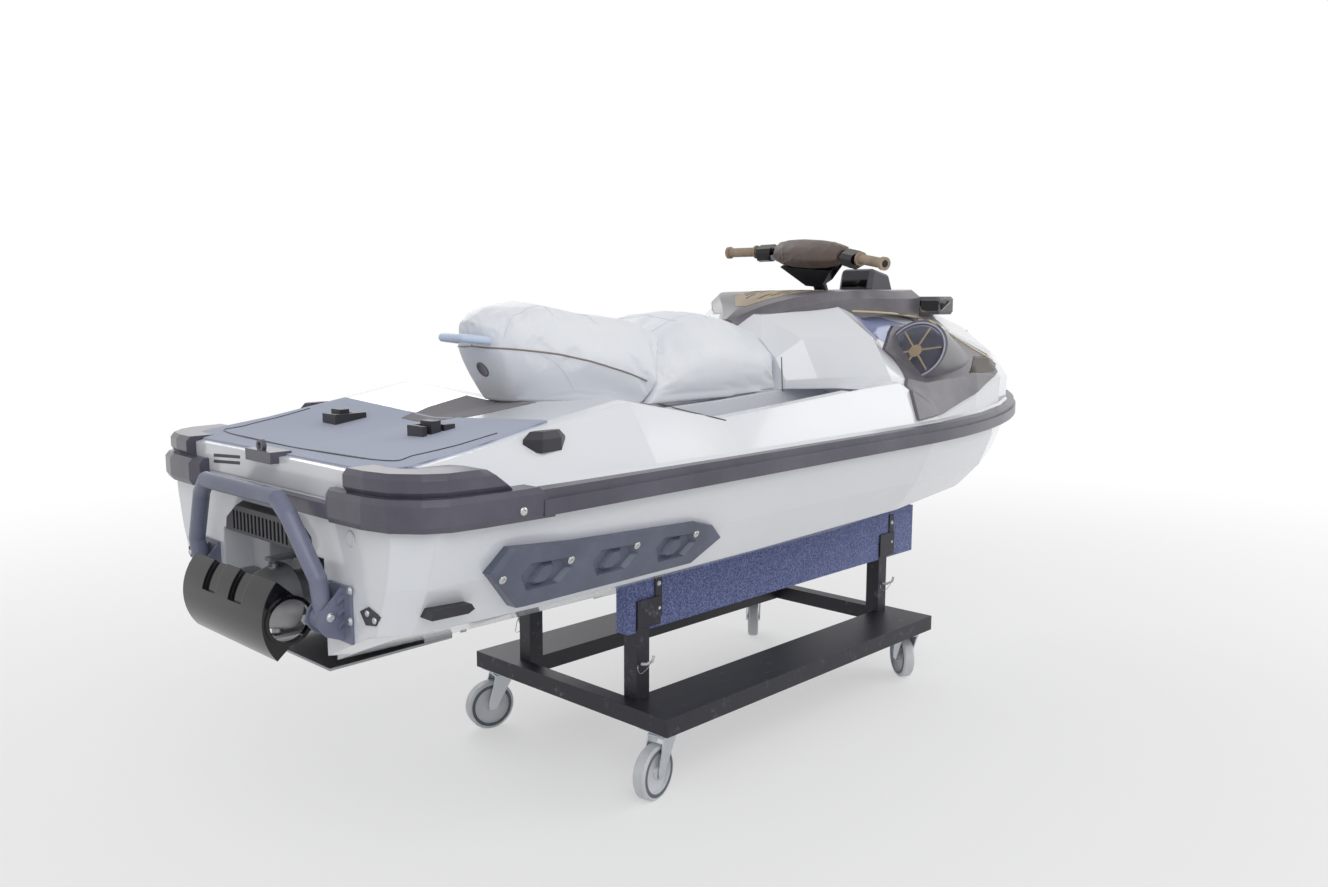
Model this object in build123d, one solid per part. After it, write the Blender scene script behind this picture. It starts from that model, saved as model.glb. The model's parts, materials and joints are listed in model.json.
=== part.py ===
from build123d import *
from math import cos, radians, sin, sqrt
import os

# Millimetres, X forward, Y to port, Z up, the floor at zero.
# The craft is drawn level on its rub rail and then set on the cart by one transform.

# Set of the craft on the cart
TRIM = -0.46
LIFT = 459
SHIFT = 8.16

# Craft
RAIL_Z = 447
RAIL_H = 54
SPLIT_Z = RAIL_Z + 30
SIDE_Y = 603
RAIL_OUT = 22
TRANSOM_X = -1630
STRAIGHT_END = 150
BOW_R = 2657
TIP_X = STRAIGHT_END + sqrt(SIDE_Y * (2 * BOW_R - SIDE_Y)) - 93.45
SEAT = 0.3
MAT = 4

# Jet pump
AXIS_Z = 215
PUMP_R = 83.5
BLADE_R = 78
NOZZLE_X = TRANSOM_X + 5
GATE_R = 128
GATE_T = 16
GATE_HOLE_R = 46
GATE_Y = 196
GATE_PIN_R = 6

# Steering
STEER_X = 505
STEER_Z = 884
STEER_TILT = 28
STEER_REST = -10
NOZZLE_REST = 8
STEM_R = 24
BAR_Z = 190
BAR_END = (-50, 388, BAR_Z + 6)
BAR_R = 12
GRIP_R = 17

# Ladder
LADDER_PIVOT = (TRANSOM_X - 34, 234)
LADDER_R = 19
LADDER_TOP = (TRANSOM_X - 64, 205, 476)
LADDER_PIN_R = 6
LADDER_Y = 290

# Cart
FRAME_X = (-755, 611)
FRAME_Y = 417
FRAME_Z = (187, 237)
PLANK_W = 184
TUBE = 50
POST_X = (-709, 512)
POST_Y = 231
BUNK_X = (-741, 737)
BUNK_Z = 430
BUNK_H = 170
BUNK_T = 45

# Casters
WHEEL_R = 75
WHEEL_W = 38
TRAIL = 44
FORK_GAP = 5
FORK_T = 4
AXLE_R = 5
PIVOT_R = 8
FIT = 0.05
CASTER_IN = 50
CASTER_Y = 352
CASTERS = {
    "port_rear": (FRAME_X[0] + CASTER_IN, CASTER_Y, 165),
    "starboard_rear": (FRAME_X[0] + CASTER_IN, -CASTER_Y, 190),
    "port_front": (FRAME_X[1] - CASTER_IN, CASTER_Y, 40),
    "starboard_front": (FRAME_X[1] - CASTER_IN, -CASTER_Y, 53),
}

CRAFT = Pos(SHIFT, 0, LIFT) * Rot(0, TRIM, 0)


def solid(shapes):
    shapes = list(shapes)
    out = shapes[0]
    for shape in shapes[1:]:
        out = out + shape
    return out


def box(x0, x1, y0, y1, z0, z1):
    size = (x1 - x0, y1 - y0, z1 - z0)
    middle = Pos((x0 + x1) / 2, (y0 + y1) / 2, (z0 + z1) / 2)
    return middle * Box(*size)


def both(shape):
    return shape + mirror(shape, about=Plane.XZ)


def outline(points):
    return make_face(Polyline(*points, close=True))


def across(x, half):
    """A whole section at x from the port half, given as (y, z) from the bottom to the top."""
    port = [(x, y, z) for y, z in half]
    other = [(x, -y, z) for y, z in reversed(half) if y > 0]
    return outline(port + other)


def side_plate(points, y0, y1):
    """A plate cut to (x, z) points, from y0 to y1."""
    face = outline([(x, y0, z) for x, z in points])
    return extrude(face, amount=y1 - y0, dir=(0, 1, 0))


def flat_plate(points, z0, z1):
    """A plate cut to (x, y) points, from z0 to z1."""
    face = outline([(x, y, z0) for x, y in points])
    return extrude(face, amount=z1 - z0, dir=(0, 0, 1))


def rod(a, b, r):
    a = Vector(*a)
    b = Vector(*b)
    plane = Plane(origin=a, z_dir=b - a)
    return extrude(plane * Circle(r), amount=(b - a).length)


def ring_x(x0, x1, r_out, r_in, z=AXIS_Z):
    plane = Plane(origin=(x0, 0, z), x_dir=(0, 1, 0), z_dir=(1, 0, 0))
    face = plane * Circle(r_out)
    if r_in:
        face = face - plane * Circle(r_in)
    return extrude(face, amount=x1 - x0)


def plan_y(x, inset=0):
    """Half width of the craft at the rail."""
    r = BOW_R - inset
    side = SIDE_Y - inset
    if x <= STRAIGHT_END:
        return side
    return side - (r - sqrt(r * r - (x - STRAIGHT_END) ** 2))


# Stations that keep their distance from the transom and from the bow's tip
RAIL_START = TRANSOM_X + 380
RAIL_BACK = TRANSOM_X + 285
BOW_STATIONS = (TIP_X - 542, TIP_X - 242, TIP_X - 42)
X1, X2, X3 = BOW_STATIONS


def from_transom(points):
    return [(TRANSOM_X + point[0], *point[1:]) for point in points]


# Hull
# x, keel z, chine (y, z), middle knuckle (y, z), upper knuckle (y, z), rail y
HULL = [
    (TRANSOM_X, 24, (430, 214), (474, 318), (494, 400), 500),
    (TRANSOM_X + 60, 23, (474, 214), (530, 318), (560, 400), 572),
    (RAIL_START, 16, (498, 214), (552, 322), (585, 404), 592),
    (-500, 6, (500, 214), (558, 324), (592, 408), 603),
    (250, 2, (474, 214), (546, 314), (588, 408), plan_y(250)),
    (800, 22, (388, 214), (474, 302), (518, 406), plan_y(800)),
    (X1, 84, (258, 226), (318, 308), (360, 406), plan_y(X1)),
    (X2, 180, (128, 270), (176, 342), (210, 416), plan_y(X2)),
    (X3, 380, (22, 408), (36, 424), (56, 438), 88),
]


def hull_form():
    faces = []
    for x, keel, chine, middle, upper, rail in HULL:
        half = [(0, keel), (chine[0] * 0.93, chine[1] - 8), chine, middle, upper]
        half += [(rail, RAIL_Z), (rail, SPLIT_Z), (0, SPLIT_Z)]
        faces.append(across(x, half))
    return loft(faces, ruled=True)


# The front body starts here, against the driver's seat
BODY_X = -66

# After deck: x, rail y, foot of the gunwale (y, z), crest (y, z), middle z
DECK = [
    (TRANSOM_X, 500, (478, 508), (440, 540), 545),
    (TRANSOM_X + 60, 572, (546, 508), (476, 552), 549),
    (TRANSOM_X + 230, 588, (558, 508), (474, 574), 562),
    (TRANSOM_X + 450, 597, (568, 508), (468, 612), 590),
    (-960, 601, (572, 508), (480, 648), 616),
    (-660, 603, (576, 508), (508, 586), 590),
    (-380, 603, (576, 508), (502, 600), 590),
    (BODY_X, 603, (576, 508), (500, 618), 600),
]
RAIL_TOP = RAIL_Z + RAIL_H - 8


def deck_form():
    faces = []
    for x, rail, foot, crest, middle in DECK:
        half = [(0, SPLIT_Z), (rail, SPLIT_Z), (rail, RAIL_TOP), foot]
        half += [crest, (crest[0] - 40, crest[1] + 2), (0, middle)]
        faces.append(across(x, half))
    return loft(faces, ruled=True)


# Front body: x, foot (y, z), shoulder (y, z), upper (y, z), top edge (y, z), ridge z
FRONT = [
    (BODY_X, (576, 508), (262, 640), (222, 706), (160, 766), 776),
    (10, (575, 508), (330, 645), (268, 766), (104, 838), 850),
    (200, (573, 508), (470, 650), (404, 768), (270, 864), 874),
    (340, (566, 508), (508, 622), (352, 722), (272, 864), 882),
    (700, (514, 508), (492, 632), (400, 780), (268, 868), 890),
    (1000, (440, 508), (446, 604), (396, 700), (280, 786), 866),
    (1250, (346, 508), (350, 592), (282, 680), (162, 766), 822),
    (X2, (204, 508), (212, 566), (176, 646), (96, 704), 742),
    (X3, (66, 508), (80, 550), (60, 586), (32, 606), 616),
]
# Gunwale beside the footwells: x, crest, valley and the front body's root
GUNWALE = {
    BODY_X: [(500, 618), (462, 602), (262, 600)],
    10: [(500, 622), (466, 604), (332, 604)],
    200: [(506, 630), (490, 624), (474, 636)],
}


def between(a, b, share):
    return (a[0] + (b[0] - a[0]) * share, a[1] + (b[1] - a[1]) * share)


def front_form():
    faces = []
    for x, foot, shoulder, upper, top, ridge in FRONT:
        flank = [between(foot, shoulder, share) for share in (0.25, 0.5, 0.75)]
        rail = 88 if x == X3 else plan_y(x)
        half = [(0, SPLIT_Z), (rail, SPLIT_Z), (rail, RAIL_TOP), foot]
        half += GUNWALE.get(x, flank) + [shoulder, upper, top, (0, ridge)]
        faces.append(across(x, half))
    return loft(faces, ruled=True)


def pedestal():
    """What carries the seats, with the console's foot ahead of it."""
    rows = [
        (-955, (40, 540), (30, 640)),
        (-850, (118, 540), (108, 636)),
        (-760, (180, 540), (166, 632)),
        (-650, (214, 540), (200, 628)),
        (-60, (240, 560), (214, 640)),
    ]
    faces = []
    for x, foot, top in rows:
        faces.append(across(x, [(0, SPLIT_Z), (foot[0], SPLIT_Z), foot, top, (0, top[1])]))
    return loft(faces, ruled=True)


TUB_END = 200
TUB = [(-870, 246), (TUB_END, 246), (TUB_END, 470), (-780, 476), (-870, 420)]
TUB_WALL = 14
TUB_FLOOR = 336


def tub_space():
    inner = flat_plate(TUB, TUB_FLOOR, 800)
    side = [(-880, 300), (TUB_END, 300), (TUB_END, 560), (TUB_END - 60, 612)]
    side += [(BODY_X, 612), (BODY_X, 800), (-880, 800)]
    return both(inner & side_plate(side, 0, 600))


def tub_block():
    points = [
        (-870 - TUB_WALL, 236),
        (TUB_END + TUB_WALL, 236),
        (TUB_END + TUB_WALL, 484),
        (-786, 490),
        (-870 - TUB_WALL, 430),
    ]
    return both(flat_plate(points, TUB_FLOOR - TUB_WALL, SPLIT_Z))


ENGINE = (-560, 140, 190, 118, 568)
BIN = (650, 1250, 236, 110, 380)
BIN_WALL = 5


def engine_block():
    x0, x1, y, z0, z1 = ENGINE
    return box(x0, x1, -y, y, z0, z1)


def bin_prism(grow):
    x0, x1, y0, y1, z0 = BIN
    points = [
        (x0 - grow, -y0 - grow),
        (x1 + grow, -y1 - grow),
        (x1 + grow, y1 + grow),
        (x0 - grow, y0 + grow),
    ]
    return points, z0 - grow


LID = [(630, 240), (700, 240), (1000, 236), (1250, 136), (1440, 84)]
LID_LOW = ((630, 822), (1440, 690))
LID_GAP = 6


def lid_cut(grow):
    half = [(x, y + grow) for x, y in LID]
    half[0] = (LID[0][0] - grow, LID[0][1] + grow)
    half[-1] = (LID[-1][0] + grow, LID[-1][1] + grow)
    points = half + [(x, -y) for x, y in reversed(half)]
    block = flat_plate(points, 600, 1000)
    (x0, z0), (x1, z1) = LID_LOW
    slope = (z1 - z0) / (x1 - x0)
    low = [(x0 - 60, z0 - grow - 60 * slope), (x1 + 60, z1 - grow + 60 * slope)]
    low += [(x1 + 60, 1000), (x0 - 60, 1000)]
    return block & side_plate(low, -400, 400)


TUNNEL_Y = 150
TUNNEL_TOP = 325
TUNNEL_X = TRANSOM_X + 380
BAY_X = TRANSOM_X + 70
BAY_Y = 238
BAY_TOP = 345
DUCT_R = 84


def tunnel():
    """The pump's bay at the transom and the intake ahead of it."""
    bay = box(TRANSOM_X - 10, TUNNEL_X, -TUNNEL_Y, TUNNEL_Y, -60, TUNNEL_TOP)
    bay += box(TRANSOM_X - 10, BAY_X, -BAY_Y, BAY_Y, -60, BAY_TOP)
    roof = AXIS_Z + DUCT_R
    x = TUNNEL_X
    side = [(x - 5, roof), (x - 5, -60), (x + 610, -60), (x + 610, 30)]
    side += [(x + 490, 60), (x + 200, 250), (x + 70, roof)]
    return bay + side_plate(side, -DUCT_R, DUCT_R)


def make_hull():
    body = hull_form() - tunnel() - tub_block()
    x0, x1, y, z0, z1 = ENGINE
    body = body - box(x0 - SEAT, x1 + SEAT, -y - SEAT, y + SEAT, z0 - SEAT, z1 + SEAT)
    points, low = bin_prism(SEAT)
    return body - flat_plate(points, low, 900)


# Hinge at the front edge of the lid, on a fixed pin
HINGE = (1452, 752)
HINGE_Y = 44
HINGE_R = 8
HINGE_PIN_R = 4
HINGE_GAP = 6


def across_rod(place, y, r):
    x, z = place
    return rod((x, -y, z), (x, y, z), r)


def hinge_room():
    x, z = HINGE
    y = HINGE_Y + HINGE_GAP
    return box(x - 12, x + HINGE_R + HINGE_GAP, -y, y, z - 30, z + 60)


def hinge_lugs():
    x, z = HINGE
    y = HINGE_Y + HINGE_GAP
    lugs = both(box(x - 9, x + 9, y, y + 12, z - 40, z + 9))
    return lugs + across_rod(HINGE, y + 6, HINGE_PIN_R)


def make_deck(front):
    body = deck_form() + front + tub_block() - tub_space()
    body = body + pedestal()
    x0, x1, y, z0, z1 = ENGINE
    body = body - box(x0 - SEAT, x1 + SEAT, -y - SEAT, y + SEAT, z0 - SEAT, z1 + SEAT)
    points, low = bin_prism(SEAT)
    body = body - flat_plate(points, low, 900)
    return body - lid_cut(LID_GAP) - steer_well() - hinge_room() + hinge_lugs()


def storage_bin():
    points, low = bin_prism(0)
    inner, inner_low = bin_prism(-BIN_WALL)
    tub = flat_plate(points, low, 900) - flat_plate(inner, inner_low, 900)
    (x0, z0), (x1, z1) = LID_LOW
    keep = [(x0 - 60, 300), (x1 + 60, 300), (x1 + 60, z1 - 30), (x0 - 60, z0 - 12)]
    return tub & side_plate(keep, -400, 400)


def storage_lid(front):
    x, z = HINGE
    tongue = box(x - 40, x, -HINGE_Y, HINGE_Y, z - 22, z - 4)
    barrel = across_rod(HINGE, HINGE_Y, HINGE_R)
    near = front & box(LID[0][0] - 40, x + 60, -300, 300, SPLIT_Z, 1000)
    body = (near & lid_cut(0)) + tongue + barrel
    return body - across_rod(HINGE, HINGE_Y + HINGE_GAP, HINGE_PIN_R + FIT)


# Rub rail and stern bumpers
def plan_outline(grow):
    side = SIDE_Y + grow
    r = BOW_R + grow
    x1 = TIP_X - 142
    y1 = side - (r - sqrt(r * r - (x1 - STRAIGHT_END) ** 2))
    mid = (STRAIGHT_END + x1) / 2
    ym = side - (r - sqrt(r * r - (mid - STRAIGHT_END) ** 2))
    tip = TIP_X - RAIL_OUT + grow
    port = Line((RAIL_BACK, side), (STRAIGHT_END, side))
    port += ThreePointArc((STRAIGHT_END, side), (mid, ym), (x1, y1))
    port += ThreePointArc((x1, y1), (x1 + (tip - x1) * 0.72, y1 * 0.56), (tip, 0))
    star = mirror(port, about=Plane.XZ)
    back = Line((RAIL_BACK, side), (RAIL_BACK, -side))
    return make_face(port + star + back)


def rub_rail(hull, deck, corners):
    low = extrude(Pos(0, 0, RAIL_Z) * plan_outline(RAIL_OUT), amount=RAIL_H - 20)
    top = extrude(Pos(0, 0, RAIL_Z + RAIL_H - 20) * plan_outline(RAIL_OUT - 8), amount=20)
    cut = extrude(Pos(0, 0, RAIL_Z - 5) * plan_outline(-60), amount=RAIL_H + 10)
    return low + top - cut - hull - deck - corners


# Stern bumpers: outer edge (x from the transom, y), from the side to the middle
BUMPER_LOW = [(320, 624), (150, 613), (70, 600), (24, 572), (-18, 518), (-34, 450)]
BUMPER_LOW += [(-38, 330), (-24, 300)]
BUMPER_LOW = from_transom(BUMPER_LOW)
BUMPER_TOP = [(224, 606), (150, 598), (74, 586), (34, 560), (-6, 508), (-20, 440)]
BUMPER_TOP += [(-24, 370)]
BUMPER_TOP = from_transom(BUMPER_TOP)


def tier(edge, low, high, lean):
    """A moulded tier: leaning foot, straight face and a wide bevel to its ledge."""
    inner = [(edge[-1][0] + 100, edge[-1][1]), (TRANSOM_X + 130, 440), (edge[0][0] - lean, 520)]
    faces = []
    for z, shrink in ((low, 8), (low + 12, 0), (high - 12, 0), (high, 10)):
        push = lean * (z - low) / (high - low)
        outer = [pulled(x, y, shrink) for x, y in edge]
        outer[0] = (outer[0][0] - push, outer[0][1])
        outer[-1] = (edge[-1][0] + shrink, edge[-1][1])
        faces.append(outline([(x, y, z) for x, y in outer + inner]))
    return loft(faces, ruled=True)


def pulled(x, y, shrink):
    """A point of the edge pulled inboard, and forward too near the corner."""
    if x > TRANSOM_X + 130:
        return (x, y - shrink)
    return (x + shrink * 0.7, y - shrink * 0.7)


def bumper(hull, deck):
    low = tier(BUMPER_LOW, RAIL_Z - 6, RAIL_Z + 60, 40)
    top = tier(BUMPER_TOP, RAIL_Z + 60, RAIL_Z + 108, 62)
    band = box(TRANSOM_X - 22, TRANSOM_X, -310, 310, RAIL_Z - 6, RAIL_Z + 26)
    return both(low + top) + band - hull - deck


# Sponson: outline (x, z), its lean with the hull's flank and its scooped pockets
SPONSON = [(183, 334), (222, 386), (400, 372), (800, 352)]
SPONSON += [(870, 332), (918, 292), (825, 238), (276, 238)]
SPONSON = from_transom(SPONSON)
SPONSON_Y = 544
SPONSON_LEAN = 0.36
POCKETS = [(330, 312), (534, 306), (737, 300)]
POCKETS = from_transom(POCKETS)
POCKET = [(-70, 4), (-50, 30), (54, 24), (76, -2), (44, -34), (-46, -34)]
BLADE = [(-38, -20), (-10, 22), (22, 22), (30, -4), (6, -28), (-24, -28)]


def leaning(points, out):
    """A face on the sponson's leaning skin, pushed out by a distance."""
    return outline([(x, SPONSON_Y + (z - 238) * SPONSON_LEAN + out, z) for x, z in points])


def shrunk(points, share):
    """The outline pulled in about its middle."""
    mx = sum(x for x, z in points) / len(points)
    mz = sum(z for x, z in points) / len(points)
    return [(mx + (x - mx) * share, mz + (z - mz) * share) for x, z in points]


def moved(points, place):
    return [(x + place[0], z + place[1]) for x, z in points]


def sponson():
    rim = loft([leaning(SPONSON, -10), leaning(shrunk(SPONSON, 0.965), 0)], ruled=True)
    body = rim + extrude(leaning(SPONSON, -10), amount=60, dir=(0, -1, 0))
    for place in POCKETS:
        hole = moved(POCKET, place)
        body -= loft([leaning(shrunk(hole, 0.82), -13), leaning(hole, 0.5)], ruled=True)
        blade = moved(BLADE, place)
        body += loft([leaning(blade, -14), leaning(shrunk(blade, 0.7), -3)], ruled=True)
    return body


def sponsons(hull):
    return both(sponson()) - hull


def rear_deck_mat(fittings):
    half = [(18, 430), (70, 462), (450, 440)]
    main = from_transom(half + [(x, -y) for x, y in reversed(half)])
    form = deck_form()
    body = flat_plate(main, 480, 680) & (Pos(0, 0, MAT) * form)
    return body - form - fittings


def footwell_mats():
    end = TUB_END - 8
    inset = [(-862, 254), (end, 254), (end, 462), (-776, 468), (-862, 416)]
    return both(flat_plate(inset, TUB_FLOOR, TUB_FLOOR + MAT))


# Seats: x, foot (y, z), side (y, z), edge (y, z), top z
PASSENGER = [
    (-1086, (14, 600), (50, 772), (42, 824), 838),
    (-1010, (34, 600), (136, 760), (104, 852), 868),
    (-930, (72, 600), (200, 748), (146, 864), 880),
    (-850, (138, 600), (228, 728), (154, 850), 866),
    (-760, (196, 600), (238, 706), (160, 834), 850),
    (-620, (230, 600), (250, 666), (166, 822), 838),
    (-470, (238, 600), (248, 650), (160, 784), 798),
]
DRIVER = [
    (-680, (250, 600), (240, 690), (160, 770), 784),
    (-510, (250, 600), (242, 720), (160, 796), 808),
    (-430, (250, 600), (244, 740), (168, 832), 848),
    (-330, (248, 600), (244, 745), (168, 840), 856),
    (-200, (240, 600), (232, 740), (160, 824), 838),
    (BODY_X - SEAT, (236, 600), (224, 720), (150, 790), 800),
]
REAR_LEAN = ((-974, 600), (-1090, 850))
SEAM = ((-654, 600), (-486, 830))


def seam_side(shift, far):
    (x0, z0), (x1, z1) = SEAM
    edge = [(x0 + shift, z0), (x1 + shift, z1), (x1 + shift, 1000)]
    return side_plate(edge + [(far, 1000), (far, z0)], -300, 300)


def seat(rows, cut, keep):
    faces = []
    for x, foot, side, edge, top in rows:
        faces.append(across(x, [(0, foot[1]), foot, side, edge, (0, top)]))
    return (loft(faces, ruled=True) & keep) - cut


def passenger_seat(deck):
    (x0, z0), (x1, z1) = REAR_LEAN
    ahead = side_plate([(x0, z0), (x1, z1), (x1, 1000), (0, 1000), (0, z0)], -300, 300)
    return seat(PASSENGER, deck, seam_side(-SEAT, -1300) & ahead)


def driver_seat(deck):
    return seat(DRIVER, deck, seam_side(SEAT, 0))


def grab_handle(cut):
    bar = rod((-1118, -44, 792), (-1118, 44, 792), 11)
    arms = both(rod((-1118, 44, 792), (-980, 96, 776), 11))
    ends = both(Pos(-1118, 44, 792) * Sphere(11))
    return bar + arms + ends - cut


# Stern fittings
# Cleats at (x, y) on the after deck, and the low caps at its sides
CLEAT = (TRANSOM_X + 308, 193)
CAP = [(340, 488), (368, 520), (426, 516), (452, 498), (426, 484), (368, 478)]
CAP = from_transom(CAP)


def cleats(deck):
    x, y = CLEAT
    pad = box(x - 44, x + 44, y - 32, y + 32, 540, 602)
    pad -= box(x - 34, x + 14, y - 22, y + 40, 578, 610)
    nib = box(x - 20, x + 6, y - 14, y + 30, 578, 612)
    cap = loft([flat_face(CAP, 560), flat_face(CAP, 588), flat_face(shrunk(CAP, 0.7), 604)], ruled=True)
    return both(pad + nib + cap) - deck


def flat_face(points, z):
    return outline([(x, y, z) for x, y in points])


def tow_hook(deck):
    base = box(TRANSOM_X - 20, TRANSOM_X + 30, -60, 60, 530, 556)
    eye = ring_eye(TRANSOM_X - 10, 0, 566)
    return base + eye - deck


def ring_eye(x, y, z):
    plane = Plane(origin=(x - 5, y, z), x_dir=(0, 1, 0), z_dir=(1, 0, 0))
    return extrude(plane * (Circle(15) - Circle(8)), amount=10)


# Louvred hood over the pump: front outline (y, z)
HOOD = [(196, 350), (188, 384), (128, 424), (-128, 424), (-188, 384), (-196, 350)]


def vent_cover():
    back = outline([(TRANSOM_X, y, z) for y, z in HOOD])
    face = outline([(TRANSOM_X - 26, y, z) for y, z in shrunk(HOOD, 0.86)])
    body = loft([back, face], ruled=True)
    slots = [box(TRANSOM_X - 40, TRANSOM_X - 8, y, y + 9, 362, 406) for y in range(-133, 125, 18)]
    return body - solid(slots)


# Jet pump
def pump_housing():
    at = TRANSOM_X
    body = ring_x(at + 110, at + 330, 100, PUMP_R)
    body += ring_x(at + 85, at + 110, 92, 46)
    body += ring_x(at + 12, at + 85, 54, 46)
    for x in (116, 180, 300):
        body += ring_x(at + x, at + x + 10, 106, PUMP_R)
    hub = ring_x(at + 85, at + 190, 34, 12 + FIT)
    vanes = []
    for i in range(6):
        turn = Pos(0, 0, AXIS_Z) * Rot(i * 60, 0, 0) * Pos(0, 0, -AXIS_Z)
        vanes.append(turn * stator_vane())
    flange = box(at + 300, TUNNEL_X, -TUNNEL_Y + SEAT, TUNNEL_Y - SEAT, 70, TUNNEL_TOP - SEAT)
    flange -= ring_x(at + 290, TUNNEL_X + 10, PUMP_R, 0)
    arm = box(NOZZLE_X - 14, at + 130, -14, 14, AXIS_Z + 86, AXIS_Z + 94)
    arm += rod((NOZZLE_X, 0, AXIS_Z + 76), (NOZZLE_X, 0, AXIS_Z + 90), 5)
    low = Pos(0, 0, 2 * AXIS_Z) * mirror(arm, about=Plane.XY)
    return solid([body, hub] + vanes + [flange, arm, low])


def blade_loft(x, low, high):
    """A twisted blade about x; low and high are (height, angle, chord, thickness)."""
    faces = []
    for height, angle, chord, thick in (low, high):
        faces.append(Pos(x, 0, AXIS_Z + height) * Rot(0, 0, angle) * Rectangle(chord, thick))
    return loft(faces, ruled=True)


def stator_vane():
    return blade_loft(TRANSOM_X + 155, (33, -14, 62, 6), (PUMP_R + 1, -22, 62, 6))


def impeller():
    at = TRANSOM_X
    hub = ring_x(at + 210, at + 305, 34, 0)
    hub += ring_x(at + 90, at + 210, 12, 0)
    hub += ring_x(at + 305, TUNNEL_X + 70, 12, 0)
    blades = []
    for i in range(4):
        turn = Pos(0, 0, AXIS_Z) * Rot(i * 90, 0, 0) * Pos(0, 0, -AXIS_Z)
        blades.append(turn * blade_loft(at + 258, (26, 30, 92, 6), (BLADE_R + 6, 58, 100, 3)))
    ring = ring_x(at + 212, at + 303, BLADE_R, 0)
    return hub + (solid(blades) & ring)


def nozzle_place():
    return Pos(NOZZLE_X, 0, AXIS_Z) * Rot(0, 0, NOZZLE_REST) * Pos(-NOZZLE_X, 0, -AXIS_Z)


def steering_nozzle():
    front = Plane(origin=(NOZZLE_X + 20, 0, AXIS_Z), x_dir=(0, 1, 0), z_dir=(-1, 0, 0))
    end = Plane(origin=(NOZZLE_X - 70, 0, AXIS_Z), x_dir=(0, 1, 0), z_dir=(-1, 0, 0))
    outer = loft([front * Circle(79), end * Circle(56)])
    inner = loft([front * Circle(72), end * Circle(48)])
    boss = rod((NOZZLE_X, 0, AXIS_Z - 81), (NOZZLE_X, 0, AXIS_Z + 81), 12)
    pin = rod((NOZZLE_X, 0, AXIS_Z - 90), (NOZZLE_X, 0, AXIS_Z + 90), 5 + FIT)
    return nozzle_place() * (outer + boss - inner - pin)


def gate_sector(r, low, high):
    """A pie slice about the gate's pins, between two angles from straight aft."""
    reach = 3 * r
    points = [(0, 0)]
    for a in (low, (low + high) / 2, high):
        points.append((-reach * cos(radians(a)), reach * sin(radians(a))))
    slice_face = outline([(NOZZLE_X + x, GATE_Y, AXIS_Z + z) for x, z in points])
    plane = Plane(origin=(NOZZLE_X, GATE_Y, AXIS_Z), z_dir=(0, -1, 0))
    return (plane * Circle(r)) & slice_face


def gate_tube(x, r, y0, y1):
    return rod((NOZZLE_X + x, y0, AXIS_Z), (NOZZLE_X + x, y1, AXIS_Z), r)


def reverse_gate():
    inner_y = GATE_Y - 10
    far = GATE_Y + 5
    outer = extrude(gate_sector(GATE_R, -40, 44), amount=2 * GATE_Y, dir=(0, -1, 0))
    for y in (-96, 32):
        step = extrude(gate_sector(GATE_R + 10, 12, 50), amount=64, dir=(0, -1, 0))
        outer -= Pos(0, y + 64 - GATE_Y, 0) * (step - gate_tube(0, GATE_R - 8, 200, -200))
    body = outer - gate_tube(0, GATE_R - GATE_T, inner_y, -inner_y)
    body += both(gate_tube(0, 24, inner_y, GATE_Y))
    hole_x = GATE_HOLE_R + 8 - GATE_R + 6
    body += both(gate_tube(hole_x, GATE_HOLE_R + 8, inner_y, GATE_Y + 4))
    body -= gate_tube(hole_x, GATE_HOLE_R, far, -far)
    return body - gate_tube(0, GATE_PIN_R + FIT, far, -far)


def gate_hangers():
    """Arms from the bay's sides that carry the gate's pins."""
    low = AXIS_Z - 22
    high = AXIS_Z + 22
    arm = box(NOZZLE_X - 14, BAY_X - SEAT, GATE_Y + 5, BAY_Y - SEAT, low, high)
    pin = rod((NOZZLE_X, GATE_Y - 16, AXIS_Z), (NOZZLE_X, GATE_Y + 13, AXIS_Z), GATE_PIN_R)
    return both(arm + pin)


# Ladder
def ladder():
    px, pz = LADDER_PIVOT
    y = LADDER_Y
    top = LADDER_TOP
    bend = (top[0], top[1] - 34, top[2])
    turn = (top[0] + 4, top[1] + 6, top[2] - 34)
    knee = (px - 10, y, pz + 84)
    eye = (px, y, pz)
    bar = rod(bend, (bend[0], -bend[1], bend[2]), LADDER_R)
    path = [bend, turn, knee, eye]
    legs = [both(rod(a, b, LADDER_R)) for a, b in zip(path, path[1:])]
    balls = [both(Pos(*p) * Sphere(LADDER_R + 0.2)) for p in path[:3]]
    eyes = both(rod((px, y - 17, pz), (px, y + 17, pz), 24))
    body = solid([bar] + legs + balls + [eyes])
    return body - rod((px, -y - 30, pz), (px, y + 30, pz), LADDER_PIN_R + FIT)


def ladder_brackets():
    px, pz = LADDER_PIVOT
    y = LADDER_Y
    points = [(TRANSOM_X, pz - 52), (px - 10, pz - 34), (px - 30, pz - 8), (px - 22, pz + 18)]
    points += [(TRANSOM_X, pz + 70)]
    inner = side_plate(points, y - 28, y - 22)
    outer = side_plate(points, y + 22, y + 28)
    foot = box(TRANSOM_X - 6, TRANSOM_X, y - 28, y + 60, pz - 52, pz + 70)
    ribs = [side_plate([(TRANSOM_X, pz + z), (px + 14, pz + z - 12), (px + 14, pz + z - 20), (TRANSOM_X, pz + z - 8)],
                       y + 28, y + 34) for z in (0, 26, 52)]
    pin = rod((px, y - 28, pz), (px, y + 28, pz), LADDER_PIN_R)
    return both(solid([inner, outer, foot, pin] + ribs))


# Steering
def steer_place():
    tilt = Pos(STEER_X, 0, STEER_Z) * Rot(0, -STEER_TILT, 0)
    return tilt * Rot(0, 0, STEER_REST)


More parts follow.
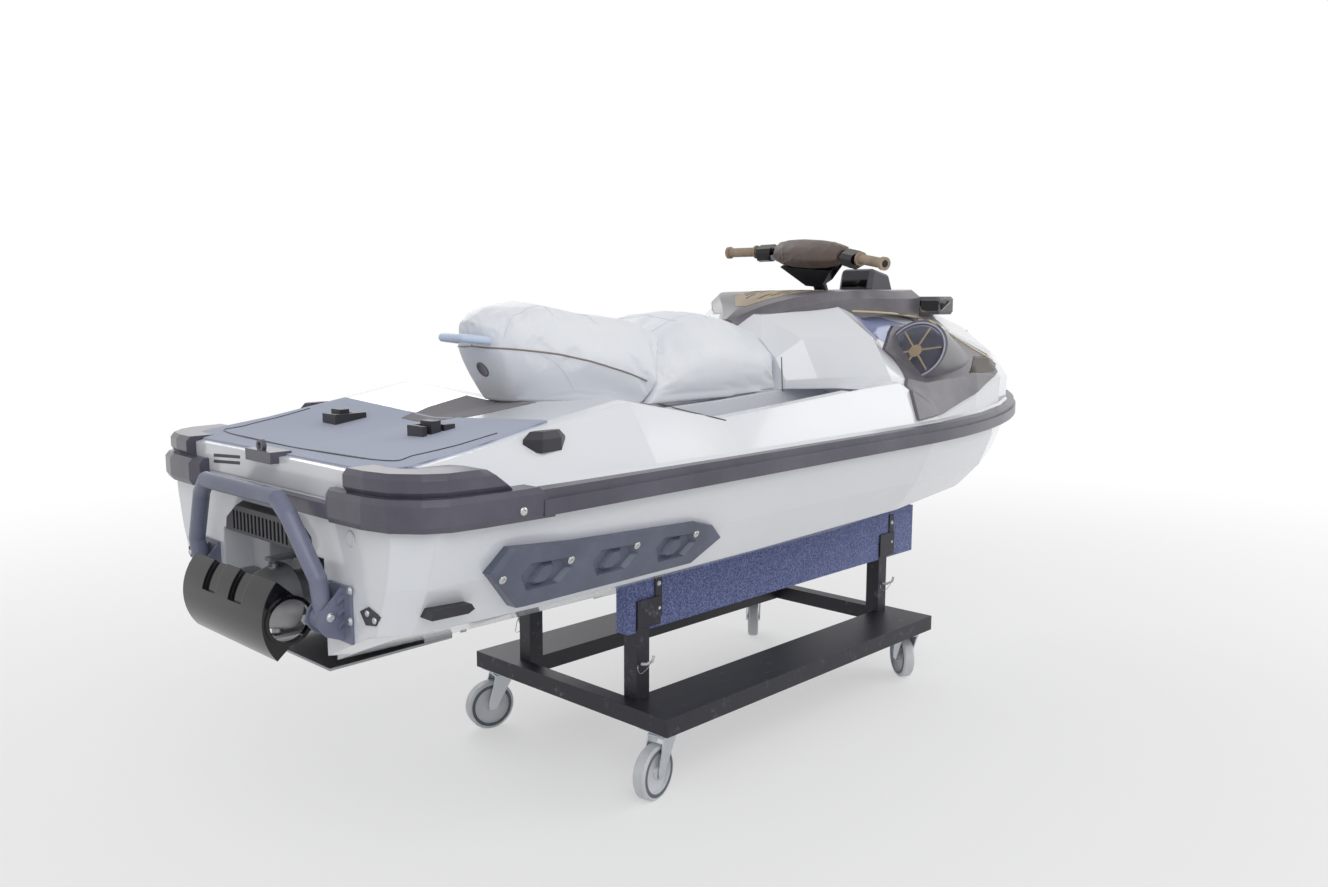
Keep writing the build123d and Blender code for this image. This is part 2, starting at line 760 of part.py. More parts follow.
def steer_well():
    """Running bore for the stem."""
    bore = Pos(0, 0, -40) * extrude(Circle(STEM_R + FIT), amount=200)
    return Pos(STEER_X, 0, STEER_Z) * Rot(0, -STEER_TILT, 0) * bore


def bar_end(r):
    """One swept end of the bar with its bend."""
    return rod((0, 150, BAR_Z), BAR_END, r) + Pos(0, 150, BAR_Z) * Sphere(r)


def neck():
    """Cover round the stem, widening up to the pad."""
    low = Pos(0, 0, 74) * Rectangle(64, 76)
    high = Pos(-4, 0, BAR_Z - 38) * Rectangle(88, 250)
    return loft([low, high], ruled=True)


def handlebar():
    """Drawn about its own column: x forward, z up along the column."""
    stem = Pos(0, 0, -30) * extrude(Circle(STEM_R), amount=BAR_Z + 22)
    bar = rod((0, -150, BAR_Z), (0, 150, BAR_Z), BAR_R)
    return steer_place() * (stem + neck() + bar + both(bar_end(BAR_R)) + switch_pods(0))


def switch_pods(grow):
    size = (60 + grow, 64 + grow, 52 + grow)
    pod = Box(*size)
    pod = chamfer(pod.edges().filter_by(Axis.Y), 12)
    return both(Pos(-14, 212, BAR_Z - 4) * Rot(0, 0, 12) * pod)


def along_bar(share):
    """A point on the swept end of the bar."""
    x, y, z = BAR_END
    return (x * share, 150 + (y - 150) * share, BAR_Z + (z - BAR_Z) * share)


def grips():
    grip = rod(along_bar(0.44), along_bar(0.98), GRIP_R)
    flange = rod(along_bar(0.44), along_bar(0.47), GRIP_R + 7)
    flange += rod(along_bar(0.95), along_bar(1), GRIP_R + 5)
    return steer_place() * both(grip + flange - bar_end(BAR_R + SEAT))


# Pad: section (x, z) from the bar, and its sizes along y
PAD = [(-50, -32), (-56, 4), (-30, 32), (14, 42), (50, 20), (50, -30)]
PAD_SHARES = [(-158, 0.74), (-110, 0.95), (-45, 1.06), (45, 1.06), (110, 0.95), (158, 0.74)]


def handlebar_pad():
    faces = []
    for y, share in PAD_SHARES:
        faces.append(outline([(x * share, y, BAR_Z + z * share) for x, z in PAD]))
    pad = loft(faces, ruled=True)
    hole = extrude(Circle(STEM_R + SEAT), amount=BAR_Z - 7.5)
    bar = rod((0, -150, BAR_Z), (0, 150, BAR_Z), BAR_R + SEAT)
    ends = both(bar_end(BAR_R + SEAT))
    return steer_place() * (pad - hole - neck() - bar - ends - switch_pods(2 * SEAT))


# x, half width at the foot and at the top, foot z, top z
CONSOLE = [
    (BODY_X + 24, 30, 20, 780, 826),
    (20, 92, 70, 800, 862),
    (110, 190, 160, 810, 898),
    (230, 284, 256, 820, 918),
    (600, 330, 300, 800, 926),
]


def console(deck):
    faces = []
    for x, foot, top, low, high in CONSOLE:
        half = [(0, low), (foot, low), (foot + 6, high - 30), (top, high - 4), (0, high)]
        faces.append(across(x, half))
    return loft(faces) - deck - steer_well()


# Instrument pod on the front lid: side outline (x, z)
GAUGE = [(690, 930), (706, 996), (724, 1002), (826, 982), (856, 920), (856, 850), (690, 850)]


def gauge(lid):
    faces = []
    for y, share in ((-72, 0.82), (-58, 1), (58, 1), (72, 0.82)):
        faces.append(outline([(x, y, z) for x, z in shrunk(GAUGE, share)]))
    return loft(faces, ruled=True) - lid


MIRROR = [(560, 288), (598, 298), (632, 394), (708, 402), (800, 336), (800, 288)]


def mirrors(deck, console_body):
    faces = []
    for z, share in ((836, 0.9), (846, 1), (890, 1), (898, 0.9)):
        faces.append(flat_face(shrunk(MIRROR, share), z))
    return both(loft(faces, ruled=True)) - deck - console_body


POD = [(202, 517), (369, 524), (675, 566), (960, 626), (930, 690), (760, 740)]
POD += [(600, 790), (440, 800), (404, 780), (300, 690), (232, 596)]
POD_FACE = (405, -436, 722)
POD_R = 112


def side_pods(front, deck):
    skin = both(Pos(0, -12, 0) * front & side_plate(POD, -700, -200))
    face = Plane(origin=POD_FACE, z_dir=(0.87, 0.05, -0.49))
    tail = Plane(origin=(800, -386, 640), z_dir=(0.9, 0.15, -0.2))
    barrel = loft([face * Circle(POD_R), tail * Circle(60)])
    recess = extrude(face * Circle(POD_R - 14), amount=10)
    return skin + both(barrel - recess) - front - deck


BOW_EYE = (TIP_X - 87, 317)


def bow_eye():
    plane = Plane(origin=(BOW_EYE[0], 5, BOW_EYE[1]), z_dir=(0, -1, 0))
    return extrude(plane * (Circle(20) - Circle(9)), amount=10)


def ride_plate():
    top = 70 - SEAT
    return box(TRANSOM_X + 50, TUNNEL_X - SEAT, -TUNNEL_Y + SEAT, TUNNEL_Y - SEAT, top - 6, top)


def intake_grate():
    x = TUNNEL_X + 80
    half = DUCT_R - SEAT
    bars = [box(x, x + 470, y - 4, y + 4, 46, 60) for y in (-45, 0, 45)]
    cross = box(x - 6, x + 10, -half, half, 46, 66)
    return solid(bars + [cross])


def trim_strips(hull):
    side = from_transom([(62, 257), (150, 254), (166, 261), (158, 273), (66, 277)])
    return both(side_plate(side, 470, 540)) - hull


# Cart
def cart_frame():
    z0, z1 = FRAME_Z
    x0, x1 = FRAME_X
    planks = both(box(x0 + TUBE, x1 - TUBE, FRAME_Y - PLANK_W, FRAME_Y, z0, z1))
    bars = box(x0, x0 + TUBE, -FRAME_Y, FRAME_Y, z0, z1)
    bars += box(x1 - TUBE, x1, -FRAME_Y, FRAME_Y, z0, z1)
    return planks + bars


def cart_posts(bunks):
    half = TUBE / 2
    body = []
    for x in POST_X:
        body.append(both(box(x, x + TUBE, POST_Y - half, POST_Y + half, FRAME_Z[1], BUNK_Z + 60)))
        body.append(both(box(x, x + TUBE + 40, POST_Y + half, POST_Y + half + 5, BUNK_Z + 10, BUNK_Z + 90)))
    return solid(body) - bunks


def make_bunks(hull):
    x0, x1 = BUNK_X
    half = BUNK_T / 2
    body = both(box(x0, x1, POST_Y - half, POST_Y + half, BUNK_Z, BUNK_Z + BUNK_H))
    return body - hull


# Casters
def caster_place(name):
    x, y, heading = CASTERS[name]
    return Pos(x, y, 0) * Rot(0, 0, heading)


def caster_plates():
    body = []
    z = FRAME_Z[0]
    for name in CASTERS:
        plate = Pos(0, 0, z - 2.5) * Box(90, 90, 5)
        pin = Pos(0, 0, z - 32) * extrude(Circle(PIVOT_R), amount=30)
        x, y, heading = CASTERS[name]
        body.append(Pos(x, y, 0) * (plate + pin))
    return Compound(body)


def caster_fork(name):
    """Drawn with the wheel's contact ahead of the pivot along x."""
    z = FRAME_Z[0]
    top = z - 10
    inner = WHEEL_W / 2 + FORK_GAP
    crown = Pos(0, 0, top - 8) * Box(64, 2 * (inner + FORK_T), 6)
    race = Pos(0, 0, top - 8) * extrude(Circle(27), amount=8)
    leg = [(-32, top - 5), (32, top - 5), (TRAIL + 14, WHEEL_R + 10), (TRAIL + 12, WHEEL_R - 12)]
    leg += [(TRAIL - 12, WHEEL_R - 12), (-10, top - 40)]
    legs = both(side_plate(leg, inner, inner + FORK_T))
    axle = rod((TRAIL, -inner - FORK_T, WHEEL_R), (TRAIL, inner + FORK_T, WHEEL_R), AXLE_R)
    bore = extrude(Circle(PIVOT_R + FIT), amount=z)
    return caster_place(name) * (crown + race + legs - bore + axle)


def caster_wheel(name):
    plane = Plane(origin=(TRAIL, -WHEEL_W / 2, WHEEL_R), z_dir=(0, 1, 0))
    wheel = extrude(plane * Circle(WHEEL_R), amount=WHEEL_W)
    hub = rod((TRAIL, -WHEEL_W / 2 - 3, WHEEL_R), (TRAIL, WHEEL_W / 2 + 3, WHEEL_R), 16)
    bore = rod((TRAIL, -WHEEL_W, WHEEL_R), (TRAIL, WHEEL_W, WHEEL_R), AXLE_R + FIT)
    dish = rod((TRAIL, WHEEL_W / 2 - 9, WHEEL_R), (TRAIL, WHEEL_W, WHEEL_R), WHEEL_R - 20)
    wheel = chamfer(wheel.edges(), 5) - both(dish)
    return caster_place(name) * (wheel + hub - bore)


def build():
    hull = make_hull()
    form = hull_form()
    front = front_form()
    deck = make_deck(front)
    top = console(deck)
    rear_seat = passenger_seat(deck)
    lid = storage_lid(front)
    corners = bumper(hull, deck)
    craft = {
        "hull": hull,
        "deck": deck,
        "engine_block": engine_block(),
        "storage_bin": storage_bin(),
        "storage_lid": lid,
        "rub_rail": rub_rail(hull, deck, corners),
        "stern_bumpers": corners,
        "sponsons": sponsons(form),
        "footwell_mats": footwell_mats(),
        "passenger_seat": rear_seat,
        "driver_seat": driver_seat(deck),
        "grab_handle": grab_handle(rear_seat),
        "deck_cleats": cleats(deck),
        "tow_hook": tow_hook(deck),
        "vent_cover": vent_cover(),
        "pump_housing": pump_housing(),
        "impeller": impeller(),
        "steering_nozzle": steering_nozzle(),
        "reverse_gate": reverse_gate(),
        "gate_hangers": gate_hangers(),
        "ladder": ladder(),
        "ladder_brackets": ladder_brackets(),
        "handlebar": handlebar(),
        "grips": grips(),
        "handlebar_pad": handlebar_pad(),
        "console": top,
        "gauge": gauge(lid),
        "mirrors": mirrors(deck, top),
        "side_pods": side_pods(front, deck),
        "bow_eye": bow_eye() - hull,
        "ride_plate": ride_plate(),
        "intake_grate": intake_grate() - hull,
        "trim_strips": trim_strips(form),
    }
    fittings = [craft["stern_bumpers"], craft["deck_cleats"], craft["tow_hook"]]
    craft["rear_deck_mat"] = rear_deck_mat(solid(fittings + [rear_seat, pedestal()]))
    nodes = {name: CRAFT * shape for name, shape in craft.items()}
    nodes["bunks"] = make_bunks(nodes["hull"])
    nodes["cart_frame"] = cart_frame()
    nodes["cart_posts"] = cart_posts(nodes["bunks"])
    nodes["caster_plates"] = caster_plates()
    for name in CASTERS:
        nodes["fork_" + name] = caster_fork(name)
        nodes["wheel_" + name] = caster_wheel(name)
    return nodes


os.makedirs("parts", exist_ok=True)
for name, shape in build().items():
    export_step(shape, "parts/" + name + ".step")
    size = shape.bounding_box()
    print(name, len(shape.solids()), size.min, size.max)
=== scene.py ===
"""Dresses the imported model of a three-seat jet craft on its wheeled cart."""
import json
import math

import bmesh
import bpy
from mathutils import Matrix, Vector
from mathutils.bvhtree import BVHTree
from mathutils.geometry import delaunay_2d_cdt


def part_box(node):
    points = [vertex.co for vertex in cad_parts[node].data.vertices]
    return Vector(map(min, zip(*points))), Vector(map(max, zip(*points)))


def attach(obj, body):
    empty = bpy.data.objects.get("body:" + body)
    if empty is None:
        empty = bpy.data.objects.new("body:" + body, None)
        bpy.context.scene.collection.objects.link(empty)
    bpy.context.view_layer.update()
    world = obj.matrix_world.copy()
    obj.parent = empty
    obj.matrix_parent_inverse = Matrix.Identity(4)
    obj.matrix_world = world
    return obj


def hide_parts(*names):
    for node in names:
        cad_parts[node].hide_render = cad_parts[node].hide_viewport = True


bl_info = {
    "name": "Personal watercraft on a cart",
    "version": (1, 0, 0),
    "blender": (4, 5, 0),
    "location": "View3D > Sidebar > Watercraft",
    "description": "Finishes, seats and fittings for a jet craft resting on a wheeled cart",
    "category": "Object",
}

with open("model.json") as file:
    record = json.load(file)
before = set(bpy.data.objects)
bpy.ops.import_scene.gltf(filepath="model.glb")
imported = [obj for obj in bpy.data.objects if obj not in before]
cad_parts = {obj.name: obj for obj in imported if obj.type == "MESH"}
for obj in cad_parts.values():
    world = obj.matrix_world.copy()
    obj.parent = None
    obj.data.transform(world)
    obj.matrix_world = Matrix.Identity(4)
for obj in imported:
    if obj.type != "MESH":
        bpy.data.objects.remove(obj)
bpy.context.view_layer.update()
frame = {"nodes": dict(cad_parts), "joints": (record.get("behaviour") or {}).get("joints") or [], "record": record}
NODES = frame["nodes"]
MM = 0.001
CRAFT_BODY = "craft_and_cart"
RAMP = "ShaderNodeValToRGB"
NOISE = "ShaderNodeTexNoise"
# The craft sits on the cart by this transform, as in the source.
TRIM = math.radians(-0.46)
LIFT = 0.459
SHIFT = 0.00816
CRAFT = Matrix.Translation((SHIFT, 0, LIFT)) @ Matrix.Rotation(TRIM, 4, "Y")
CRAFT_TURN = CRAFT.to_3x3()


def at(x, y, z):
    """A point of the craft's own frame, in millimetres, as a point of the row frame."""
    return CRAFT @ (Vector((x, y, z)) * MM)


# Colour and node helpers
def linear(text):
    """An sRGB hex colour as linear RGBA."""
    values = [int(text[i:i + 2], 16) / 255 for i in (1, 3, 5)]
    return [v / 12.92 if v <= 0.04045 else ((v + 0.055) / 1.055) ** 2.4 for v in values] + [1.0]


def add(tree, kind, settings=None, links=None, stops=None, feeds=None):
    """Adds one node: settings by property or socket name, links as {socket: (node, output)}, a colour ramp's
    stops as (place, colour), and feeds as the (node, socket) that its first output goes to."""
    made = tree.nodes.new(kind)
    for key, value in (settings or {}).items():
        if isinstance(key, str) and hasattr(made, key):
            setattr(made, key, value)
        else:
            made.inputs[key].default_value = value
    for socket, (source, output) in (links or {}).items():
        tree.links.new(source.outputs[output], made.inputs[socket])
    if stops:
        edges = made.color_ramp.elements
        while len(edges) < len(stops):
            edges.new(0.5)
        for edge, (place, colour) in zip(edges, stops):
            edge.position = place
            edge.color = colour
    if feeds:
        node, socket = feeds
        tree.links.new(made.outputs[0], node.inputs[socket])
    return made


def surface(name, base, **sockets):
    """A material with a Principled shader, and the link to its object coordinates in metres."""
    made = bpy.data.materials.new(name)
    made.use_nodes = True
    tree = made.node_tree
    shader = tree.nodes["Principled BSDF"]
    shader.inputs["Base Color"].default_value = tuple(base)
    for key, value in sockets.items():
        shader.inputs[key].default_value = value
    place = add(tree, "ShaderNodeTexCoord")
    return made, tree, shader, {"Vector": (place, "Object")}


def relief(tree, shader, source, output, depth_mm, strength, soft_edge=0.0):
    """Bump of a real depth in millimetres, over edges rounded by a real radius in metres."""
    bump = add(tree, "ShaderNodeBump", {"Strength": strength, "Distance": depth_mm * MM},
               {"Height": (source, output)}, feeds=(shader, "Normal"))
    if soft_edge:
        add(tree, "ShaderNodeBevel", {"samples": 4, "Radius": soft_edge}, feeds=(bump, "Normal"))


def per(millimetres):
    """The scale of a pattern whose cells measure so much."""
    return 1 / (millimetres * MM)


def clouds(tree, shader, here, patch_mm, stops, detail=4.0):
    """Base colour that drifts between stops over patches of a real size."""
    noise = add(tree, NOISE, {"Scale": per(patch_mm), "Detail": detail, "Roughness": 0.6}, here)
    add(tree, RAMP, {}, {"Fac": (noise, "Fac")}, stops, (shader, "Base Color"))


MATERIALS = {}
# A wave texture of scale 1 repeats after so many metres.
WAVE = 0.314
# The axis of the starboard grille, in the craft's frame
GRILLE_AXIS = (-0.87, -0.05, 0.49)


def material(name):
    return MATERIALS[name]


def gelcoat(sizes, name, main, shade):
    """Polyester gelcoat, sprayed in a polished mould: deep gloss with a trace of waviness."""
    made, tree, shader, here = surface(name, main, **{
        "Roughness": 0.2, "IOR": 1.5, "Coat Weight": 0.5, "Coat Roughness": 0.06})
    clouds(tree, shader, here, 625, [(0.35, main), (0.75, shade)], 3.0)
    wave = add(tree, NOISE, {"Scale": per(111), "Detail": 1.0}, here)
    relief(tree, shader, wave, "Fac", 1.0, 0.1, sizes.gelcoat_edge)
    return made


def grained_plastic(sizes, name, main, pale, rough):
    """Polypropylene, injection moulded against a spark-eroded tool: an even fine grain and a satin sheen.
    The real grain is about 0.4 mm, drawn coarser so that it shows."""
    made, tree, shader, here = surface(name, main, **{"Roughness": rough, "IOR": 1.49})
    clouds(tree, shader, here, 200, [(0.38, main), (0.72, pale)], 6.0)
    grain = add(tree, "ShaderNodeTexVoronoi", {"Scale": 1 / sizes.plastic_grain}, here)
    relief(tree, shader, grain, "Distance", 0.2, 0.35, sizes.moulding_edge)
    return made


def polished_black(sizes, colours):
    """ABS, injection moulded and polished: near mirror gloss with a few swirl marks and dust."""
    made, tree, shader, here = surface("polished_abs", colours.gloss_black, **{
        "IOR": 1.5, "Specular IOR Level": 0.42})
    swirl = add(tree, NOISE, {"Scale": per(71), "Detail": 8.0}, here)
    add(tree, "ShaderNodeMapRange", {"To Min": 0.05, "To Max": 0.17}, {"Value": (swirl, "Fac")},
        feeds=(shader, "Roughness"))
    add(tree, RAMP, {}, {"Fac": (swirl, "Fac")},
        [(0.5, colours.gloss_black), (0.9, linear("#1d1d22"))], (shader, "Base Color"))
    relief(tree, shader, swirl, "Fac", 0.2, 0.1, sizes.moulding_edge)
    return made


def foam_mat(sizes, name, main, groove):
    """EVA foam sheet, cut and routed: matte, cellular, with fine lengthwise grooves, darker in the grooves as
    painted shade.
    """
    made, tree, shader, here = surface(name, main, **{"Roughness": 0.85, "Sheen Weight": 0.2})
    rib = add(tree, "ShaderNodeTexWave", {"wave_type": "BANDS", "bands_direction": "Y",
                                          "Scale": WAVE / sizes.mat_groove}, here)
    cell = add(tree, NOISE, {"Scale": per(3.85), "Detail": 2.0}, here)
    add(tree, RAMP, {}, {"Fac": (rib, "Fac")}, [(0.0, groove), (0.3, main)], (shader, "Base Color"))
    grains = add(tree, "ShaderNodeMath", {"operation": "MULTIPLY_ADD", 1: 0.25},
                 {0: (cell, "Fac"), 2: (rib, "Fac")})
    relief(tree, shader, grains, "Value", 0.8, 0.8)
    return made


def vinyl(sizes, name, main, shade):
    """Marine vinyl, calendered and embossed: soft sheen over a leather-like grain under 1 mm, drawn at 2 mm,
    with faint creases where the cover is stretched."""
    made, tree, shader, here = surface(name, main, **{"Roughness": 0.46, "IOR": 1.5, "Sheen Weight": 0.08})
    clouds(tree, shader, here, 250, [(0.3, main), (0.8, shade)])
    grain = add(tree, "ShaderNodeTexVoronoi", {"Scale": 1 / sizes.vinyl_grain}, here)
    crease = add(tree, NOISE, {"Scale": per(62.5), "Detail": 5.0, "Roughness": 0.55}, here)
    height = add(tree, "ShaderNodeMath", {"operation": "MULTIPLY_ADD", 1: 4.0},
                 {0: (crease, "Fac"), 2: (grain, "Distance")})
    relief(tree, shader, height, "Value", 0.3, 0.4)
    return made


def grip_rubber(name, main):
    """Thermoplastic rubber, moulded with a fine check, drawn at 3 mm: dull and lightly worn."""
    made, tree, shader, here = surface(name, main, **{"Roughness": 0.68, "IOR": 1.5})
    clouds(tree, shader, here, 55.5, [(0.3, main), (0.85, linear("#b9a58f"))])
    ridge = add(tree, "ShaderNodeTexVoronoi", {"Scale": per(3), "feature": "DISTANCE_TO_EDGE"}, here)
    relief(tree, shader, ridge, "Distance", 0.6, 0.5)
    return made


def metal(sizes, name, main, rough, patch_mm):
    """Metal as cast, plated or polished: gloss that varies over small patches, and a fine skin."""
    made, tree, shader, here = surface(name, main, **{"Metallic": 1.0})
    fine = add(tree, NOISE, {"Scale": per(patch_mm), "Detail": 6.0, "Roughness": 0.7}, here)
    add(tree, "ShaderNodeMapRange", {"To Min": rough * 0.7, "To Max": rough * 1.4}, {"Value": (fine, "Fac")},
        feeds=(shader, "Roughness"))
    relief(tree, shader, fine, "Fac", 0.15, 0.35, sizes.moulding_edge)
    return made


def brushed_enamel(sizes, name, main, rubbed, bare):
    """Black enamel brushed over timber and steel: scuffed grey where it rubs, chipped along its arrises."""
    made, tree, shader, here = surface(name, main, **{"Roughness": 0.45})
    scuff = add(tree, NOISE, {"Scale": per(38.5), "Detail": 9.0, "Roughness": 0.75}, here)
    arris = add(tree, "ShaderNodeNewGeometry")
    worn = add(tree, "ShaderNodeMath", {"operation": "MULTIPLY_ADD", 1: 0.35},
               {0: (arris, "Pointiness"), 2: (scuff, "Fac")})
    add(tree, RAMP, {}, {"Fac": (worn, "Value")},
        [(0.78, main), (0.85, rubbed), (0.95, bare)], (shader, "Base Color"))
    relief(tree, shader, scuff, "Fac", 0.5, 0.4, sizes.moulding_edge)
    return made


def bunk_carpet(sizes, colours):
    """Needle-punched polypropylene carpet, wrapped and stapled: a flecked, fuzzy nap."""
    made, tree, shader, here = surface("needle_punched_carpet", colours.carpet, **{
        "Roughness": 0.95, "Sheen Weight": 0.35})
    tuft = add(tree, NOISE, {"Scale": 1 / sizes.carpet_tuft, "Detail": 4.0, "Roughness": 0.85}, here)
    flecks = [(0.36, colours.carpet_dark), (0.5, colours.carpet), (0.64, colours.carpet_pale)]
    add(tree, RAMP, {}, {"Fac": (tuft, "Fac")}, flecks, (shader, "Base Color"))
    relief(tree, shader, tuft, "Fac", 2.0, 0.9)
    return made


def cast_tread(name, main, dusty):
    """Polyurethane cast on a nylon core: smooth and slightly greasy, a little floor dust on it."""
    made, tree, shader, here = surface(name, main, **{"Roughness": 0.42})
    clouds(tree, shader, here, 111, [(0.45, main), (0.9, dusty)], 8.0)
    grime = add(tree, NOISE, {"Scale": per(8.3), "Detail": 4.0}, here)
    relief(tree, shader, grime, "Fac", 0.2, 0.2)
    return made


def clear_glass(name, main):
    """Tinted glass over a dark backing: clean reflections with a faint smear."""
    made, tree, shader, here = surface(name, main, **{"IOR": 1.5, "Specular IOR Level": 0.35})
    smear = add(tree, NOISE, {"Scale": per(50), "Detail": 5.0}, here)
    add(tree, "ShaderNodeMapRange", {"To Min": 0.02, "To Max": 0.1}, {"Value": (smear, "Fac")},
        feeds=(shader, "Roughness"))
    return made


def smoked_lens(name, main, deep):
    """Smoked polycarbonate, moulded over a brown reflector: glossy with darker bands inside, 17 mm apart."""
    made, tree, shader, here = surface(name, main, **{
        "Roughness": 0.12, "IOR": 1.5, "Specular IOR Level": 0.15})
    band = add(tree, "ShaderNodeTexWave", {"wave_type": "BANDS", "bands_direction": "X",
                                           "Scale": WAVE / 0.01744, "Distortion": 1.5}, here)
    add(tree, RAMP, {}, {"Fac": (band, "Fac")}, [(0.2, deep), (0.8, main)], (shader, "Base Color"))
    return made


def perforated_sheet(sizes, name, main):
    """Steel sheet, punched and painted: round holes in rows, drawn at 9 mm pitch, the holes painted near black as
    painted shade of the space behind.
    """
    made, tree, shader, here = surface(name, main, **{"Roughness": 0.55, "Specular IOR Level": 0.12})
    # Turned so that the rows lie in the disc's own plane.
    tilt = math.atan2(-GRILLE_AXIS[0], GRILLE_AXIS[2])
    flat = add(tree, "ShaderNodeMapping", {"Rotation": (0.0, tilt, 0.0)}, here)
    hole = add(tree, "ShaderNodeTexVoronoi", {"voronoi_dimensions": "2D", "Scale": 1 / sizes.grille_pitch,
                                              "Randomness": 0.0}, {"Vector": (flat, "Vector")})
    # Painted shade: the holes are near black where the dark barrel would show through
    add(tree, RAMP, {}, {"Fac": (hole, "Distance")},
        [(0.26, linear("#010102")), (0.34, main)], (shader, "Base Color"))
    rim = add(tree, RAMP, {}, {"Fac": (hole, "Distance")}, [(0.26, (0, 0, 0, 1)), (0.34, (1, 1, 1, 1))])
    relief(tree, shader, rim, "Color", 1.5, 0.8)
    return made


def make_materials(sizes, c):
    """Makes every finish; c holds the colours."""
    for maker, rows in (
        (gelcoat, (
            ("gelcoat", "white_gelcoat", c.gelcoat, c.gelcoat_shade),
            # The lilac is painted shade: a copy of the gelcoat for the shaded white recess
            ("lilac_gelcoat", "lilac_gelcoat", c.recess, c.recess_painted_shade_dark),
            ("cream_edge", "cream_gelcoat", c.cream, linear("#cdb88f")))),
        (grained_plastic, (
            ("moulding", "grained_polypropylene", c.moulding, c.moulding_pale, 0.3),
            ("ladder_plastic", "glass_filled_nylon", c.ladder, linear("#7f8398"), 0.4),
            ("sponson_plastic", "moulded_polyethylene", c.sponson, linear("#6a7085"), 0.38),
            ("fairing", "metallic_painted_abs", c.fairing, linear("#7d7a80"), 0.28),
            ("cover_plastic", "moulded_nylon", linear("#26262c"), linear("#3c3c44"), 0.45),
            ("tan_trim", "sand_polypropylene", c.tan, linear("#c4ad8b"), 0.45),
            ("bevel_trim", "pale_polypropylene", linear("#a9abc0"), linear("#c5c7d8"), 0.4))),
        (foam_mat, (
            # Each mat's second, darker colour is painted shade in its grooves
            ("foam_mat", "eva_foam_mat", c.foam, c.foam_groove_painted_shade),
            ("taupe_mat", "taupe_eva_foam", c.taupe, linear("#57545a")))),
        (vinyl, (
            ("vinyl", "marine_vinyl", c.vinyl, c.vinyl_shade),
            # A bluer copy of the seat vinyl: painted shade
            ("side_vinyl", "pale_blue_vinyl", c.vinyl_painted_shade_tint, linear("#c3d3ea")),
            ("pad_leather", "stitched_pad_cover", c.pad, linear("#6a5a4f")),
            ("piping", "welted_piping", c.piping, linear("#8d8178")))),
        (metal, (
            ("alloy", "cast_aluminium", linear("#9a9a9d"), 0.42, 11),
            ("stainless", "polished_stainless_steel", linear("#c3c3c1"), 0.22, 16.5),
            ("zinc", "zinc_plated_steel", linear("#c4c9cf"), 0.34, 14.3),
            ("iron", "cast_iron", linear("#3a3a3c"), 0.6, 16.5))),
        (brushed_enamel, (("cart_paint", "brushed_enamel", c.cart, c.cart_scuff, linear("#8c8680")),)),
        (perforated_sheet, (("grille", "perforated_steel", c.grille),)),
    ):
        for finish, *look in rows:
            MATERIALS[finish] = maker(sizes, *look)
    MATERIALS.update({
        "black_gloss": polished_black(sizes, c),
        "carpet": bunk_carpet(sizes, c),
        "grip_rubber": grip_rubber("moulded_rubber", c.grip),
        "seal": grip_rubber("extruded_epdm_seal", linear("#2a2a30")),
        "wheel_tread": cast_tread("cast_polyurethane", c.wheel, c.wheel_dust),
        "wheel_ring": cast_tread("moulded_tpr_ring", linear("#565b66"), linear("#6d717a")),
        "pin_plastic": cast_tread("moulded_white_nylon", linear("#e4e6ea"), linear("#c6c8cc")),
        "glass": clear_glass("tinted_glass", linear("#08090c")),
        "lens": smoked_lens("smoked_polycarbonate", c.lens, linear("#17110d")),
    })


# Nodes whose finish differs from their slot's own
NODE_FINISH = {
    "ladder": "ladder_plastic", "ladder_brackets": "ladder_plastic", "sponsons": "sponson_plastic",
    "side_pods": "fairing", "mirrors": "fairing", "console": "fairing", "vent_cover": "cover_plastic",
    # The grab strap is dressed in the vinyl's painted shade
    "storage_lid": "gelcoat", "gauge": "cover_plastic", "grab_handle": "side_vinyl",
    "deck_cleats": "cover_plastic", "trim_strips": "cover_plastic", "storage_bin": "cover_plastic",
}


def dress(mesh, finish):
    """Gives a mesh one of the materials only."""
    mesh.materials.clear()
    mesh.materials.append(material(finish))


# Sizes and colours that a user would change
def length(name, text, millimetres):
    return bpy.props.FloatProperty(name=name, description=text, default=millimetres * MM, min=0.0001,
                                   precision=4, unit="LENGTH", subtype="DISTANCE")


def colour(name, text, value):
    return bpy.props.FloatVectorProperty(name=name, description=text, default=linear(value), size=4,
                                         min=0.0, max=1.0, subtype="COLOR")


class WatercraftSizes(bpy.types.PropertyGroup):
    gelcoat_edge: length("Gelcoat edge", "Radius of the soft edges of hull and deck", 7.0)
    moulding_edge: length("Moulding edge", "Radius of the soft edges of moulded pieces", 2.5)
    plastic_grain: length("Plastic grain", "Grain of the moulded plastic", 1.6)
    vinyl_grain: length("Vinyl grain", "Grain of the seat vinyl", 2.0)
    mat_groove: length("Mat groove pitch", "Distance between the mat's grooves", 9.0)
    carpet_tuft: length("Carpet tuft", "Size of the carpet's flecks", 5.0)
    grille_pitch: length("Grille pitch", "Distance between the grille's holes", 9.0)
    seat_voxel: length("Seat remesh", "Edge of the seat's mesh before it swells", 7.0)
    seat_swell: length("Seat swell", "How far the padding may bulge", 9.0)
    pad_voxel: length("Pad remesh", "Edge of the handlebar pad's mesh before it swells", 3.0)
    pad_swell: length("Pad swell", "How far the handlebar pad may bulge", 3.0)
    piping: length("Piping", "Radius of the seat's welted piping", 2.2)
    side_seam: length("Side seam", "Radius of the seam on the rear seat's sides", 0.99)
    channel: length("Channel", "Radius of the sewn channels on the seats' tops", 1.1)
    seam: length("Panel line", "Radius of the dark lines between body panels", 1.6)
    border: length("Mat border", "Radius of the line round the rear mat", 1.6)


